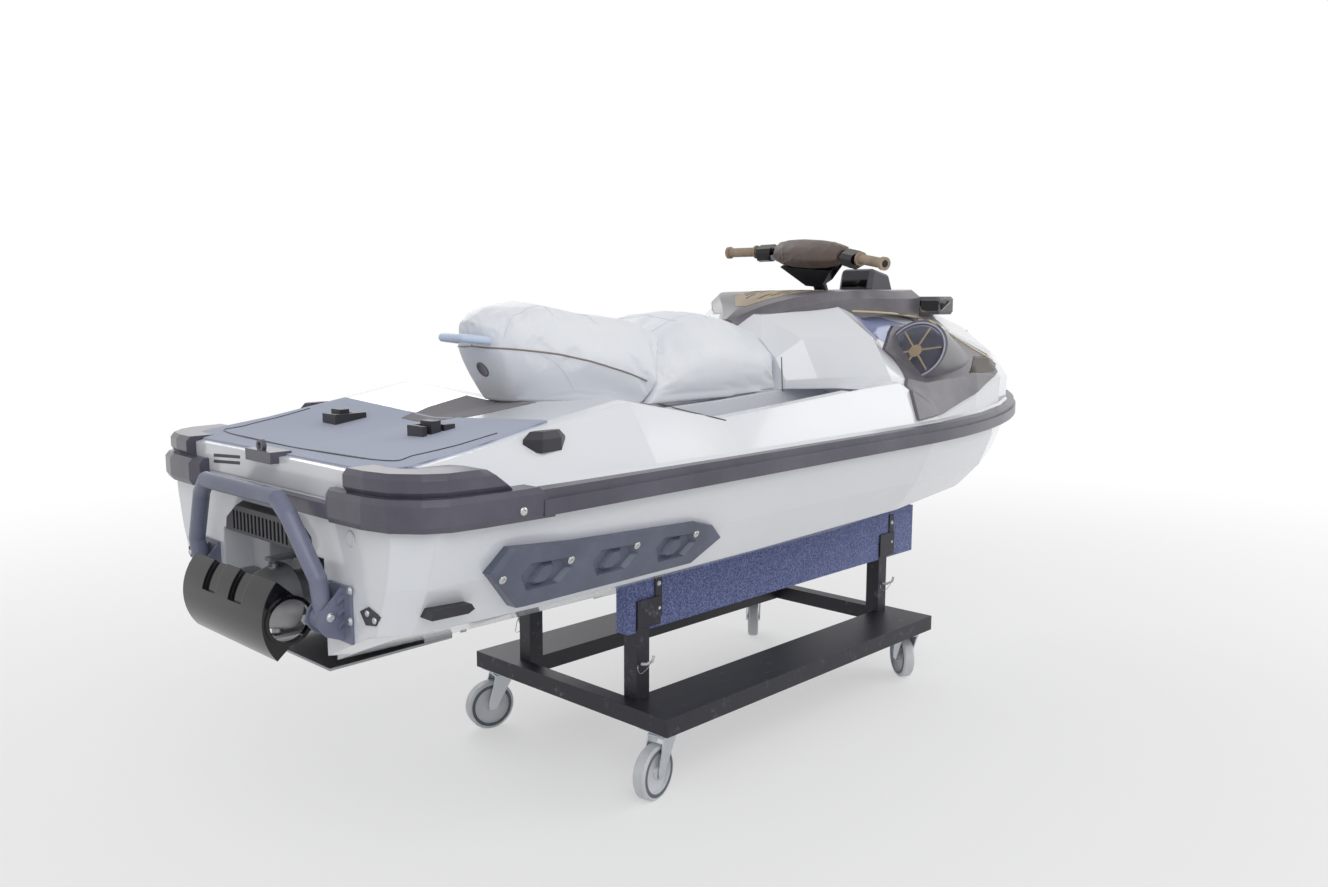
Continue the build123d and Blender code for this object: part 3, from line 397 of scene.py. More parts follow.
class WatercraftColours(bpy.types.PropertyGroup):
    gelcoat: colour("Gelcoat", "Hull and deck", "#e6e8ec")
    gelcoat_shade: colour("Gelcoat shade", "Cooler patches of the hull and deck", "#dfe3ea")
    # Painted shade: the lilac and its darker tone stand in for the shade on the white gelcoat of the recess ahead
    # of the knee; the two tones mix in random patches
    recess: colour("Recess", "Recess ahead of the rider's knee", "#aab0d2")
    recess_painted_shade_dark: colour("Recess, deep", "Deeper part of the recess", "#8f99c6")
    cream: colour("Cream edge", "Thin top edge of the white sides", "#e2d3b0")
    moulding: colour("Moulding", "Rub rail and bumpers", "#4c4a57")
    moulding_pale: colour("Moulding, rubbed", "Paler patches of the moulded plastic", "#605e6b")
    ladder: colour("Ladder", "Boarding ladder and brackets", "#656a80")
    sponson: colour("Sponson", "Moulded planks low on the sides", "#525869")
    fairing: colour("Fairing", "Pods, mirrors and console sides", "#5f5c63")
    tan: colour("Tan trim", "Console top and foot of the pillar", "#a08f78")
    gloss_black: colour("Gloss black", "Reverse gate", "#0e0e12")
    foam: colour("Foam mat", "Deck mats", "#aab1c6")
    # Painted shade: the darker colour in the mats' grooves
    foam_groove_painted_shade: colour("Mat groove", "Grooves of the deck mats", "#8a90a8")
    taupe: colour("Taupe mat", "Middle of the rear deck", "#6f6b70")
    vinyl: colour("Vinyl", "Seat covers", "#eceef2")
    # Painted shade: the blue tint that the white vinyl takes in shade, laid on the seats' seams and the grab strap
    vinyl_painted_shade_tint: colour("Side vinyl", "Lower side panels and strap", "#d3dff0")
    vinyl_shade: colour("Vinyl shade", "Cooler patches of the covers", "#e2e7ef")
    piping: colour("Piping", "Welt along the seat", "#7c6f66")
    pad: colour("Pad cover", "Handlebar pad", "#43393a")
    grip: colour("Grip", "Handlebar grips", "#8f7f70")
    lens: colour("Lens", "Smoked lens beside the bow", "#4a3420")
    grille: colour("Grille", "Perforated grille", "#121216")
    cart: colour("Cart", "Painted planks and posts", "#1f1f29")
    cart_scuff: colour("Cart scuffs", "Rubbed paint", "#3c3b4a")
    carpet: colour("Carpet", "Bunk carpet", "#5a659a")
    carpet_dark: colour("Carpet dark", "Dark flecks", "#333e6c")
    carpet_pale: colour("Carpet pale", "Pale flecks", "#98a3cf")
    wheel: colour("Wheel", "Caster wheels", "#d6d9dd")
    wheel_dust: colour("Wheel dust", "Dusty patches of the wheels", "#b3b5b8")


# Mesh parts: each is (points in metres, faces)
def circle(side, up, count):
    """Unit directions evenly round a circle."""
    turns = [math.tau * k / count for k in range(count)]
    return [side * math.cos(turn) + up * math.sin(turn) for turn in turns]


def loft(rings, closed=False):
    """A skin over rings of points, with flat ends unless the last ring meets the first."""
    count, sides = len(rings), len(rings[0])
    faces = []
    for i in range(count if closed else count - 1):
        j = (i + 1) % count
        for k in range(sides):
            m = (k + 1) % sides
            faces.append((i * sides + k, i * sides + m, j * sides + m, j * sides + k))
    if not closed:
        faces.append(tuple(range(sides))[::-1])
        faces.append(tuple((count - 1) * sides + k for k in range(sides)))
    return [point for ring in rings for point in ring], faces


def tube(path, radius, sides, closed=False):
    """A round bar or bead along points, its radius in metres."""
    last = len(path) - 1
    rings, side = [], None
    for i, point in enumerate(path):
        before = path[i - 1] if closed or i else path[0]
        after = path[(i + 1) % len(path)] if closed or i < last else path[-1]
        ahead = (after - before).normalized()
        side = side or ahead.orthogonal()
        side = (side - ahead * side.dot(ahead)).normalized()
        rings.append([point + out * radius for out in circle(side, ahead.cross(side), sides)])
    return loft(rings, closed)


def turned(profile, place, axis, sides, closed=False):
    """A piece turned about an axis, from (radius, height) pairs in millimetres; a closed profile makes a
    ring."""
    axis = Vector(axis).normalized()
    side = axis.orthogonal().normalized()
    outs = circle(side, axis.cross(side), sides)
    return loft([[place + axis * (h * MM) + out * (r * MM) for out in outs] for r, h in profile], closed)


def block(low, high, place, chamfer):
    """A chamfered block between two corners in millimetres from a place."""
    rings = []
    c = chamfer
    for z, inset in ((low[2], c), (low[2] + c, 0), (high[2] - c, 0), (high[2], c)):
        x0, y0, x1, y1 = low[0] + inset, low[1] + inset, high[0] - inset, high[1] - inset
        outline = ((x0, y0 + c), (x0 + c, y0), (x1 - c, y0), (x1, y0 + c),
                   (x1, y1 - c), (x1 - c, y1), (x0 + c, y1), (x0, y1 - c))
        rings.append([place + Vector((x, y, z)) * MM for x, y in outline])
    return loft(rings)


def mirrored(part):
    """The same part on the craft's other side."""
    points, faces = part
    return [Vector((p[0], -p[1], p[2])) for p in points], [tuple(reversed(face)) for face in faces]


def pair(part):
    return [part, mirrored(part)]


def pair_all(parts):
    return [made for part in parts for made in pair(part)]


def curve(points, step):
    """Points evenly along a smooth line through the given ones."""
    points = [Vector(p) for p in points]
    ends = [points[0] * 2 - points[1]] + points + [points[-1] * 2 - points[-2]]
    line = []
    for a, b, c, d in zip(ends, ends[1:], ends[2:], ends[3:]):
        count = max(1, int((c - b).length / step))
        for k in range(count):
            t = k / count
            line.append(b + (c - a) * (0.5 * t) + (a * 2 - b * 5 + c * 4 - d) * (0.5 * t * t)
                        + (b * 3 - a - c * 3 + d) * (0.5 * t * t * t))
    return line + [points[-1]]


# Camera of the photograph, fitted to the craft and the cart
CAMERA_PLACE = (-2.742, -2.295, 1.319)
CAMERA_HEADING = 0.7613
CAMERA_DIP = 0.1251
CAMERA_ROLL = 0.0035
FOCAL_PX = 1076.7
FRAME_PX = 1328
FRAME_HIGH_PX = 887


def camera_axes():
    """The camera's right, up and backward directions."""
    heading, dip, roll = CAMERA_HEADING, CAMERA_DIP, CAMERA_ROLL
    ahead = Vector((math.cos(heading) * math.cos(dip), math.sin(heading) * math.cos(dip), -math.sin(dip)))
    right = Vector((math.sin(heading), -math.cos(heading), 0))
    up = right.cross(ahead)
    return right * math.cos(roll) + up * math.sin(roll), up * math.cos(roll) - right * math.sin(roll), -ahead


def placed(name, data):
    """A new object in the scene."""
    made = bpy.data.objects.new(name, data)
    bpy.context.scene.collection.objects.link(made)
    return made


SURFACES = {}
# Where lines of sight start, in millimetres from the craft's origin: outside it on every side
BESIDE, ABOVE, BEHIND = 900, 1300, 2000


def surface_of(names):
    """The faces of nodes or pieces, for laying things on them."""
    if names not in SURFACES:
        points, faces = [], []
        for name in names:
            obj = NODES.get(name) or bpy.data.objects[name]
            base = len(points)
            points += [v.co.copy() for v in obj.data.vertices]
            faces += [[base + i for i in p.vertices] for p in obj.data.polygons]
        SURFACES[names] = BVHTree.FromPolygons(points, faces)
    return SURFACES[names]


def sight(view, u, v):
    """Start and direction of a line of sight: sides, top and back in craft millimetres, the photo in its
    pixels."""
    if view == "port":
        return at(u, BESIDE, v), CRAFT_TURN @ Vector((0, -1, 0))
    if view == "starboard":
        return at(u, -BESIDE, v), CRAFT_TURN @ Vector((0, 1, 0))
    if view == "top":
        return at(u, v, ABOVE), CRAFT_TURN @ Vector((0, 0, -1))
    if view == "back":
        return at(-BEHIND, u, v), CRAFT_TURN @ Vector((1, 0, 0))
    right, up, back = camera_axes()
    ahead = right * (u - FRAME_PX / 2) - up * (v - FRAME_HIGH_PX / 2) - back * FOCAL_PX
    return Vector(CAMERA_PLACE), ahead.normalized()


def seat_at(view, u, v, names):
    """The point and outward normal that a line of sight meets, or else the nearest to it."""
    start, ahead = sight(view, u, v)
    tree = surface_of(names)
    place, normal = tree.ray_cast(start, ahead)[:2]
    if place is None:
        place, normal = tree.find_nearest(start + ahead * BESIDE * MM)[:2]
    if normal.dot(ahead) > 0:
        normal = -normal
    return place, normal


def laid_line(points, view, names, radius, step, proud=0.3):
    """A bead laid along a line on the surface, its radius in metres."""
    path = []
    for u, v in ((p[0], p[1]) for p in curve([Vector((u, v, 0)) for u, v in points], step)):
        place, normal = seat_at(view, u, v, names)
        path.append(place + normal * radius * proud)
    return tube(path, radius, 6)


def rim_of(outline, names, radius):
    """A closed bead round an outline in the photo's pixels."""
    return tube([seat_at("photo", u, v, names)[0] for u, v in outline], radius, 6, True)


def inside(point, outline):
    """Whether a flat point lies within an outline."""
    hit = False
    for a, b in zip(outline, outline[1:] + outline[:1]):
        if (a[1] > point[1]) != (b[1] > point[1]):
            if point[0] < (b[0] - a[0]) * (point[1] - a[1]) / (b[1] - a[1]) + a[0]:
                hit = not hit
    return hit


def laid_patch(outline, view, names, lift, cell, sink=0.8):
    """A thin skin laid on the surface inside an outline, its rim turned down. Lift and sink are in
    millimetres, the cell in the view's own units."""
    outline = [Vector(p) for p in outline]
    rim = []
    for a, b in zip(outline, outline[1:] + outline[:1]):
        count = max(1, round((b - a).length / cell))
        rim += [a.lerp(b, k / count) for k in range(count)]
    us, vs = [p[0] for p in rim], [p[1] for p in rim]
    flat = list(rim)
    for i in range(1, int((max(us) - min(us)) / cell) + 1):
        for j in range(1, int((max(vs) - min(vs)) / cell) + 1):
            p = Vector((min(us) + i * cell, min(vs) + j * cell))
            if inside(p, rim) and min((p - q).length for q in rim) > cell * 0.5:
                flat.append(p)
    flat, _, faces = delaunay_2d_cdt(flat, [], [list(range(len(rim)))], 1, 1e-5)[:3]
    built = bmesh.new()
    seats = [seat_at(view, p[0], p[1], names) for p in flat]
    points = [built.verts.new(place + normal * lift * MM) for place, normal in seats]
    for face in faces:
        built.faces.new([points[i] for i in face])
    built.normal_update()
    under = dict(zip(points, seats))
    rims = [edge for edge in built.edges if edge.is_boundary]
    made = bmesh.ops.extrude_edge_only(built, edges=rims)["geom"]
    for vert in (g for g in made if isinstance(g, bmesh.types.BMVert)):
        top = min((e.other_vert(vert) for e in vert.link_edges if e.other_vert(vert) in under),
                  key=lambda o: (o.co - vert.co).length)
        place, normal = under[top]
        vert.co = place - normal * sink * MM
    built.verts.index_update()
    result = [v.co.copy() for v in built.verts], [[v.index for v in f.verts] for f in built.faces]
    built.free()
    return result


def piece(name, parts, finish, body=CRAFT_BODY, smooth=40.0):
    """One object from several parts, dressed, and riding on a body."""
    built = bmesh.new()
    for points, faces in parts:
        verts = [built.verts.new(p) for p in points]
        for face in faces:
            built.faces.new([verts[i] for i in face])
    bmesh.ops.recalc_face_normals(built, faces=built.faces)
    mesh = bpy.data.meshes.new(name)
    built.to_mesh(mesh)
    built.free()
    mesh.materials.append(material(finish))
    mesh.shade_smooth()
    mesh.set_sharp_from_angle(angle=math.radians(smooth))
    made = placed(name, mesh)
    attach(made, body)
    return made


def screw(place, normal, r, h):
    """A pan head with a recessed socket."""
    profile = [(r, -1.0), (r, h * 0.5), (r * 0.86, h * 0.9), (r * 0.55, h), (r * 0.42, h),
               (r * 0.40, h * 0.3), (r * 0.1, h * 0.3)]
    return turned(profile, place, normal, 16)


def nut(place, normal, r, h):
    """A washer with a hexagon head on it."""
    return [turned([(r * 1.35, -0.5), (r * 1.35, 1.2), (r * 1.2, 1.6)], place, normal, 18),
            turned([(r, 1.0), (r, h - 0.8), (r * 0.86, h)], place, normal, 6)]


# Operators
class CRAFT_OT_finishes(bpy.types.Operator):
    """Makes the materials and lays them on the rigid pieces."""
    bl_idname = "craft.finishes"
    bl_label = "Finishes"

    def execute(self, context):
        make_materials(context.scene.craft_sizes, context.scene.craft_colours)
        for part in frame["record"]["subparts"]:
            node = part["node"]
            dress(NODES[node].data, NODE_FINISH.get(node, part["material_slot"]))
        return {"FINISHED"}


class CRAFT_OT_seats(bpy.types.Operator):
    """Builds the padded seats and handlebar pad over their plain solids, with the seats' piping."""
    bl_idname = "craft.seats"
    bl_label = "Seats"

    def execute(self, context):
        sizes = context.scene.craft_sizes
        for node, slot, body, voxel, cap in (
            ("passenger_seat", "vinyl", CRAFT_BODY, sizes.seat_voxel, sizes.seat_swell),
            ("driver_seat", "vinyl", CRAFT_BODY, sizes.seat_voxel, sizes.seat_swell),
            ("handlebar_pad", "pad_leather", "steering_bars", sizes.pad_voxel, sizes.pad_swell),
        ):
            pad = padded_cover(node, slot, voxel, cap)
            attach(pad, body)
            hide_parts(node)
        seat_trim(sizes)
        return {"FINISHED"}


# Padding: passes of smoothing, the share of its cap that a cover is first drawn in by, the cloth's pressure
# and frames, and the height of the foot that is held: in metres, or a share of a low pad's height
SMOOTHING = 14
DRAWN_IN = 0.3
PRESSURE = 4.0
FRAMES = 20
FOOT = 0.03
FOOT_SHARE = 0.2


def padded_cover(node, finish, voxel, cap):
    """The node's solid, remeshed, drawn in a little, then swelled by cloth pressure within a cap."""
    mesh = NODES[node].data.copy()
    pad = placed(node + "_cover", mesh)
    dress(mesh, finish)
    modify(pad, "REMESH", mode="VOXEL", voxel_size=voxel, use_smooth_shade=True)
    modify(pad, "SMOOTH", factor=0.5, iterations=SMOOTHING)
    modify(pad, "DISPLACE", strength=-DRAWN_IN * cap, mid_level=0.0)
    swell(pad, cap)
    modify(pad, "SUBSURF", levels=1, render_levels=1)
    return pad


def swell(pad, cap):
    """Cloth under pressure, pinned at its foot; no point moves further than the cap."""
    scene = bpy.context.scene
    heights = [v.co.z for v in pad.data.vertices]
    foot = min(heights) + min(FOOT, FOOT_SHARE * (max(heights) - min(heights)))
    pinned = pad.vertex_groups.new(name="foot")
    pinned.add([v.index for v in pad.data.vertices if v.co.z < foot], 1.0, "REPLACE")
    before = [v.co.copy() for v in pad.data.vertices]
    cloth = pad.modifiers.new("swell", "CLOTH")
    cloth.settings.use_pressure = True
    cloth.settings.uniform_pressure_force = PRESSURE
    cloth.settings.effector_weights.gravity = 0.0
    cloth.settings.vertex_group_mass = "foot"
    cloth.settings.quality = 4
    cloth.point_cache.frame_start = 1
    cloth.point_cache.frame_end = FRAMES
    for step in range(1, FRAMES + 1):
        scene.frame_set(step)
    graph = bpy.context.evaluated_depsgraph_get()
    after = [v.co.copy() for v in pad.evaluated_get(graph).data.vertices]
    pad.modifiers.remove(cloth)
    scene.frame_set(1)
    for vert, old, new in zip(pad.data.vertices, before, after):
        move = new - old
        vert.co = old + (move * (cap / move.length) if move.length > cap else move)
    pad.data.update()
    pad.vertex_groups.remove(pinned)


def modify(obj, kind, **settings):
    """Replaces the object's mesh by what a modifier with these settings makes of it."""
    modifier = obj.modifiers.new(kind.lower(), kind)
    for key, value in settings.items():
        setattr(modifier, key, value)
    graph = bpy.context.evaluated_depsgraph_get()
    done = bpy.data.meshes.new_from_object(obj.evaluated_get(graph), depsgraph=graph)
    old = obj.data
    obj.modifiers.clear()
    obj.data = done
    bpy.data.meshes.remove(old)


# Lines on the seats in craft millimetres: (x, z) on their sides, (x, y) on their tops
CREASE = [(-1070, 768), (-1008, 762), (-930, 750), (-847, 730), (-780, 711), (-710, 690), (-650, 668)]
PANEL_SEAM = [(-962, 752), (-930, 728), (-895, 694), (-860, 655)]
REAR_CHANNELS = [[(-1060, y), (-900, y * 1.1), (-740, y * 1.05)] for y in (-95, 95)]
REAR_CHANNELS += [[(x - 12, -150), (x, 0), (x - 12, 150)] for x in (-900, -740)]
FRONT_CHANNELS = [[(-560, y * 1.05), (-420, y * 1.2), (-260, y)] for y in (-95, 95)]
FRONT_CHANNELS += [[(x, -140), (x + 12, 0), (x, 140)] for x in (-430, -290)]
# How far a thread's middle lies over the vinyl, as a share of its radius
THREAD_PROUD = 0.1
# The bare button's height and its (radius, height) profile
BUTTON_Z = 707
BUTTON = [(22, -3), (22, 0.8), (20.5, 1.6), (18.5, 1.6), (17.5, 0.9), (2, 0.9)]


def seat_trim(sizes):
    """Piping and a seam on the rear seat's sides, channels on both tops, and a bare button at the back; the seam
    and channels are painted shade, bluer lines in the creases.
    """
    rear = ("passenger_seat_cover",)
    front = ("driver_seat_cover",)
    sides = ("port", "starboard")
    piece("seat_piping", [laid_line(CREASE, side, rear, sizes.piping, 8.0) for side in sides], "piping")
    seams = [laid_line(PANEL_SEAM, side, rear, sizes.side_seam, 8.0, THREAD_PROUD) for side in sides]
    for seat, channels in ((rear, REAR_CHANNELS), (front, FRONT_CHANNELS)):
        seams += [laid_line(line, "top", seat, sizes.channel, 10.0, THREAD_PROUD) for line in channels]
    # The seam and channels are painted shade: bluer lines where the vinyl creases
    piece("seat_seams_painted_shade", seams, "side_vinyl")
    button = turned(BUTTON, *seat_at("back", 0, BUTTON_Z, rear), 32)
    piece("bare_seat_button", [button], "fairing")


# Lines on the deck and hull as (u, v) in the photo's pixels: beside the knee, along the footwell's sill,
# the rows and ends of the stern vent's slots, and the drain plug, which has a (radius, height) profile
KNEE_JOINT = [(781.5, 357), (782, 375), (782.5, 391)]
SILL_JOINT = [(630, 397.5), (648, 401.5), (667, 406), (697, 413.5), (726, 420.5)]
VENT_ROWS = (453.5, 459.5)
VENT_LEFT, VENT_RIGHT = 214, 240
DRAIN = (351, 539)
DRAIN_PLUG = [(17, -1), (17, 1.6), (15, 2.6), (12, 2.6), (11, 1.6), (2, 1.6)]
# The middle of the rear mat and half of its border, as (x, y) in craft millimetres
CENTRE_MAT = [(-1235, -66), (-1120, -122), (-972, -150), (-972, 150), (-1120, 122), (-1235, 66)]
MAT_BORDER = [(-1560, -330), (-1560, 330), (-1490, 392), (-1300, 412)]


class CRAFT_OT_deck_lines(bpy.types.Operator):
    """Lays the panel lines, centre mat, mat border, the vent slots' painted shade and drain plugs on the deck and
    hull.
    """
    bl_idname = "craft.deck_lines"
    bl_label = "Deck lines"

    def execute(self, context):
        sizes = context.scene.craft_sizes
        skin = ("deck", "hull")
        mat = ("deck", "hull", "rear_deck_mat")
        lines = pair(laid_line(KNEE_JOINT, "photo", ("deck",), sizes.seam, 3))
        lines += pair(laid_line(SILL_JOINT, "photo", skin, sizes.seam, 4))
        piece("panel_lines", lines, "seal")
        piece("centre_mat", [laid_patch(CENTRE_MAT, "top", mat, 1.2, 14.0)], "taupe_mat")
        piece("mat_border", pair(laid_line(MAT_BORDER, "top", mat, sizes.border, 12)), "cover_plastic")
        # Painted shade: dark skins on the hull where the vent's slots open
        slots = []
        for row in VENT_ROWS:
            slot = [(VENT_LEFT, row), (VENT_RIGHT, row + 2), (VENT_RIGHT, row + 5), (VENT_LEFT, row + 3)]
            slots.append(laid_patch(slot, "photo", skin, 0.7, 4.0))
        piece("stern_vent_slots_painted_shade", slots, "cover_plastic")
        plug = turned(DRAIN_PLUG, *seat_at("photo", *DRAIN, ("hull",)), 28)
        piece("drain_plug", pair(plug), "gelcoat")
        return {"FINISHED"}


# Outlines at the front as (u, v) in the photo's pixels
# The recess outline bounds a patch of painted shade
RECESS_PAINTED_SHADE = [(853, 315), (880, 318), (931, 331), (900, 352), (876, 337)]
CREAM_EDGE = [(852, 311), (880, 312.5), (905, 315), (930, 321), (950, 334), (972, 348), (992, 360)]
LENS = [(973.8, 357), (987, 357.5), (995, 363.8), (993.5, 372.5), (969.8, 372.5)]
MIRROR = [(916, 298), (945, 298), (950, 302), (941, 311), (922, 311)]
# Radii in metres of the cream edge, the lens frame and the mirror's rim
EDGE_R, LENS_FRAME_R, MIRROR_RIM_R = 0.0036, 0.0035, 0.0022
# The starboard grille's middle in craft millimetres, the (radius, height) profiles of its disc, rings and
# hub, and its spokes, each along a line between two (radius, height) pairs in metres
GRILLE_PLACE = (405, -436, 722)
GRILLE_DISC = [(97, -11), (97, -8.5), (80, -6.5), (50, -5.2), (2, -5.0)]
GRILLE_RINGS = ([(105, -3), (105, 0.5), (102, 1.4), (99, 0.5), (99, -3)],
                [(95, -8.4), (95, -4.6), (92.5, -3.8), (90, -4.6), (90, -7.4)])
GRILLE_HUB = [(24, -6), (24, -3.4), (21, -2.6), (3, -2.6)]
SPOKES = 6
SPOKE_R = 0.0045
SPOKE_LINE = ((0.022, -0.0045), (0.09, -0.0062))
# The console's top as (x, y) in craft millimetres, and its dark marks as (x, y, length)
CONSOLE_TOP = [(30, -22), (110, -92), (230, -128), (330, -120), (330, 120), (230, 128), (110, 92), (30, 22)]
CONSOLE_MARKS = ((85, 22, 60), (120, 52, 84), (176, 34, 66), (150, 82, 96), (236, 66, 70), (210, 100, 66))


class CRAFT_OT_front(bpy.types.Operator):
    """Lays the painted shade of the recess, the grilles, lenses, mirror glass and console trims at the front."""
    bl_idname = "craft.front"
    bl_label = "Front trims"

    def execute(self, context):
        skin = ("deck", "side_pods", "console", "mirrors")
        # Painted shade: a lilac skin on the white deck where the recess lies in shade
        piece("recess_painted_shade_patch", pair(laid_patch(RECESS_PAINTED_SHADE, "photo", ("deck",), 0.9, 5.0)), "lilac_gelcoat")
        piece("cream_top_edge", pair(laid_line(CREAM_EDGE, "photo", skin, EDGE_R, 5, 0.2)), "cream_edge")
        piece("smoked_lens", pair(laid_patch(LENS, "photo", skin, 2.0, 3.0)), "lens")
        piece("lens_frame", pair(rim_of(LENS, skin, LENS_FRAME_R)), "black_gloss")
        self.grilles()
        piece("mirror_glass", pair(laid_patch(MIRROR, "photo", ("mirrors",), 0.9, 4.0)), "glass")
        piece("mirror_rims", pair(rim_of(MIRROR, ("mirrors",), MIRROR_RIM_R)), "cream_edge")
        self.console_top()
        return {"FINISHED"}

    def grilles(self):
        """A perforated disc, two rings, and a hub with spokes, set back in each pod's barrel."""
        centre = at(*GRILLE_PLACE)
        axis = CRAFT_TURN @ Vector(GRILLE_AXIS).normalized()
        disc = turned(GRILLE_DISC, centre, axis, 48)
        rings = [turned(profile, centre, axis, 56) for profile in GRILLE_RINGS]
        hub = [turned(GRILLE_HUB, centre, axis, 32)]
        side = axis.orthogonal().normalized()
        for out in circle(side, axis.cross(side), SPOKES):
            hub.append(tube([centre + out * r + axis * h for r, h in SPOKE_LINE], SPOKE_R, 8))
        piece("grille_discs", pair(disc), "grille", smooth=60.0)
        piece("grille_rings", pair_all(rings), "bevel_trim", smooth=60.0)
        piece("grille_spokes", pair_all(hub), "tan_trim")

    def console_top(self):
        """A sand-coloured skin with generic dark marks."""
        piece("console_skin", [laid_patch(CONSOLE_TOP, "top", ("console",), 0.9, 16.0)], "tan_trim")
        marks = []
        for x, y, long in CONSOLE_MARKS:
            shape = [(x, y), (x + long, y + 6), (x + long + 10, y + 15), (x + 12, y + 11)]
            marks += pair(laid_patch(shape, "top", ("console_skin",), 0.5, 14.0, 0.3))
        piece("console_marks", marks, "cover_plastic")


# Fasteners as (u, v) in the photo's pixels; screws also with what they hold and their head's radius
SCREWS = (
    (523.7, 511.5, ("stern_bumpers", "rub_rail"), 9.0),
    (502.7, 580.0, ("sponsons",), 9.5), (571.0, 560.0, ("sponsons",), 9.5),
    (637.0, 545.5, ("sponsons",), 9.5), (696.0, 534.0, ("sponsons",), 9.5),
)
LADDER_NUTS = ((349.5, 591), (331, 617.5), (350, 621.5))
BOLT_PLATE = [(361, 611), (369, 607), (381, 617), (377, 626), (367, 625)]
PLATE_SCREWS = ((368.7, 613.3), (376, 620.5))
# The two-bolt plate's thickness in millimetres
PLATE = 3.0


class CRAFT_OT_fasteners(bpy.types.Operator):
    """Sets the screws and nuts of the bumpers, sponsons, ladder and brackets."""
    bl_idname = "craft.fasteners"
    bl_label = "Fasteners"

    def execute(self, context):
        heads, nuts, small = [], [], []
        for u, v, names, r in SCREWS:
            heads += pair(screw(*seat_at("photo", u, v, names), r, 3.2))
        for u, v in LADDER_NUTS:
            nuts += pair_all(nut(*seat_at("photo", u, v, ("ladder_brackets", "ladder")), 7.5, 5.0))
        for u, v in PLATE_SCREWS:
            place, normal = seat_at("photo", u, v, ("hull",))
            small += pair(screw(place + normal * PLATE * MM, normal, 7.0, 3.0))
        piece("moulding_screws", heads, "stainless")
        piece("ladder_nuts", nuts, "zinc")
        plate = laid_patch(BOLT_PLATE, "photo", ("hull",), PLATE, 3.0)
        piece("two_bolt_plate", pair(plate), "cover_plastic")
        piece("plate_screws", small, "zinc")
        return {"FINISHED"}


# The handlebar pad's seams, as shares of its width from its middle, the points round each, and their radius
# in metres; the instrument screen as (y, z) in craft millimetres
PAD_SEAMS = (-0.32, -0.12, 0.12, 0.32)
SEAM_POINTS = 28
PAD_SEAM_R = 0.0011
SCREEN = [(-54, 884), (54, 884), (54, 962), (-54, 962)]


class CRAFT_OT_handlebar(bpy.types.Operator):
    """Adds the pad's seams to the handlebar, and the screen to the instrument pod."""
    bl_idname = "craft.handlebar"
    bl_label = "Handlebar trims"

    def execute(self, context):
        low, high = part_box("handlebar_pad")
        middle = (low + high) / 2
        pad = surface_of(("handlebar_pad_cover",))
        seams = []
        for share in PAD_SEAMS:
            centre = Vector((middle.x, middle.y + share * (high.y - low.y), middle.z))
            ring = []
            for out in circle(Vector((1, 0, 0)), Vector((0, 0, 1)), SEAM_POINTS):
                place = pad.ray_cast(centre, out)[0]
                ring.append(place + out * 0.0003 if place else centre + out * 0.04)
            seams.append(tube(ring, PAD_SEAM_R, 6, True))
        piece("pad_seams", seams, "grip_rubber", "steering_bars")
        piece("instrument_screen", [laid_patch(SCREEN, "back", ("gauge",), 1.2, 12.0)], "glass", "lid")
        return {"FINISHED"}


# The bunks' straps, in metres from the bunks' ends and sides, and in millimetres up from the bunks' foot
STRAP_REAR, STRAP_FRONT = 0.118, 0.150
STRAP_GAP = 0.0045
STRAP_LOW, STRAP_HIGH = 30, 155
STRAP_HALF, STRAP_THICK = 14, 4.4
STRAP_NUTS = (55, 125)
# The pull pins, in metres from the ends, the foot and the outer face of the posts, with the radii and, in
# millimetres from there, the paths of a pin and its wire
PIN_REAR, PIN_FRONT, PIN_HIGH, PIN_DEEP = 0.02, 0.06, 0.10, 0.006
PIN_R, WIRE_R = 0.0042, 0.0011
PIN_PATH = ((0, 0, 0), (0, -20, 4), (6, -36, 14), (8, -40, 30))
WIRE_PATH = ((8, -38, 28), (-6, -34, 2), (-20, -20, -18), (-18, -4, -12), (-14, 0, 0))
# The rings on the wheels in millimetres: radius of the middle, half of the width, depth under the face
RING_R, RING_HALF, RING_DEEP = 61, 5, 1.5
CORNERS = ("port_rear", "starboard_rear", "port_front", "starboard_front")


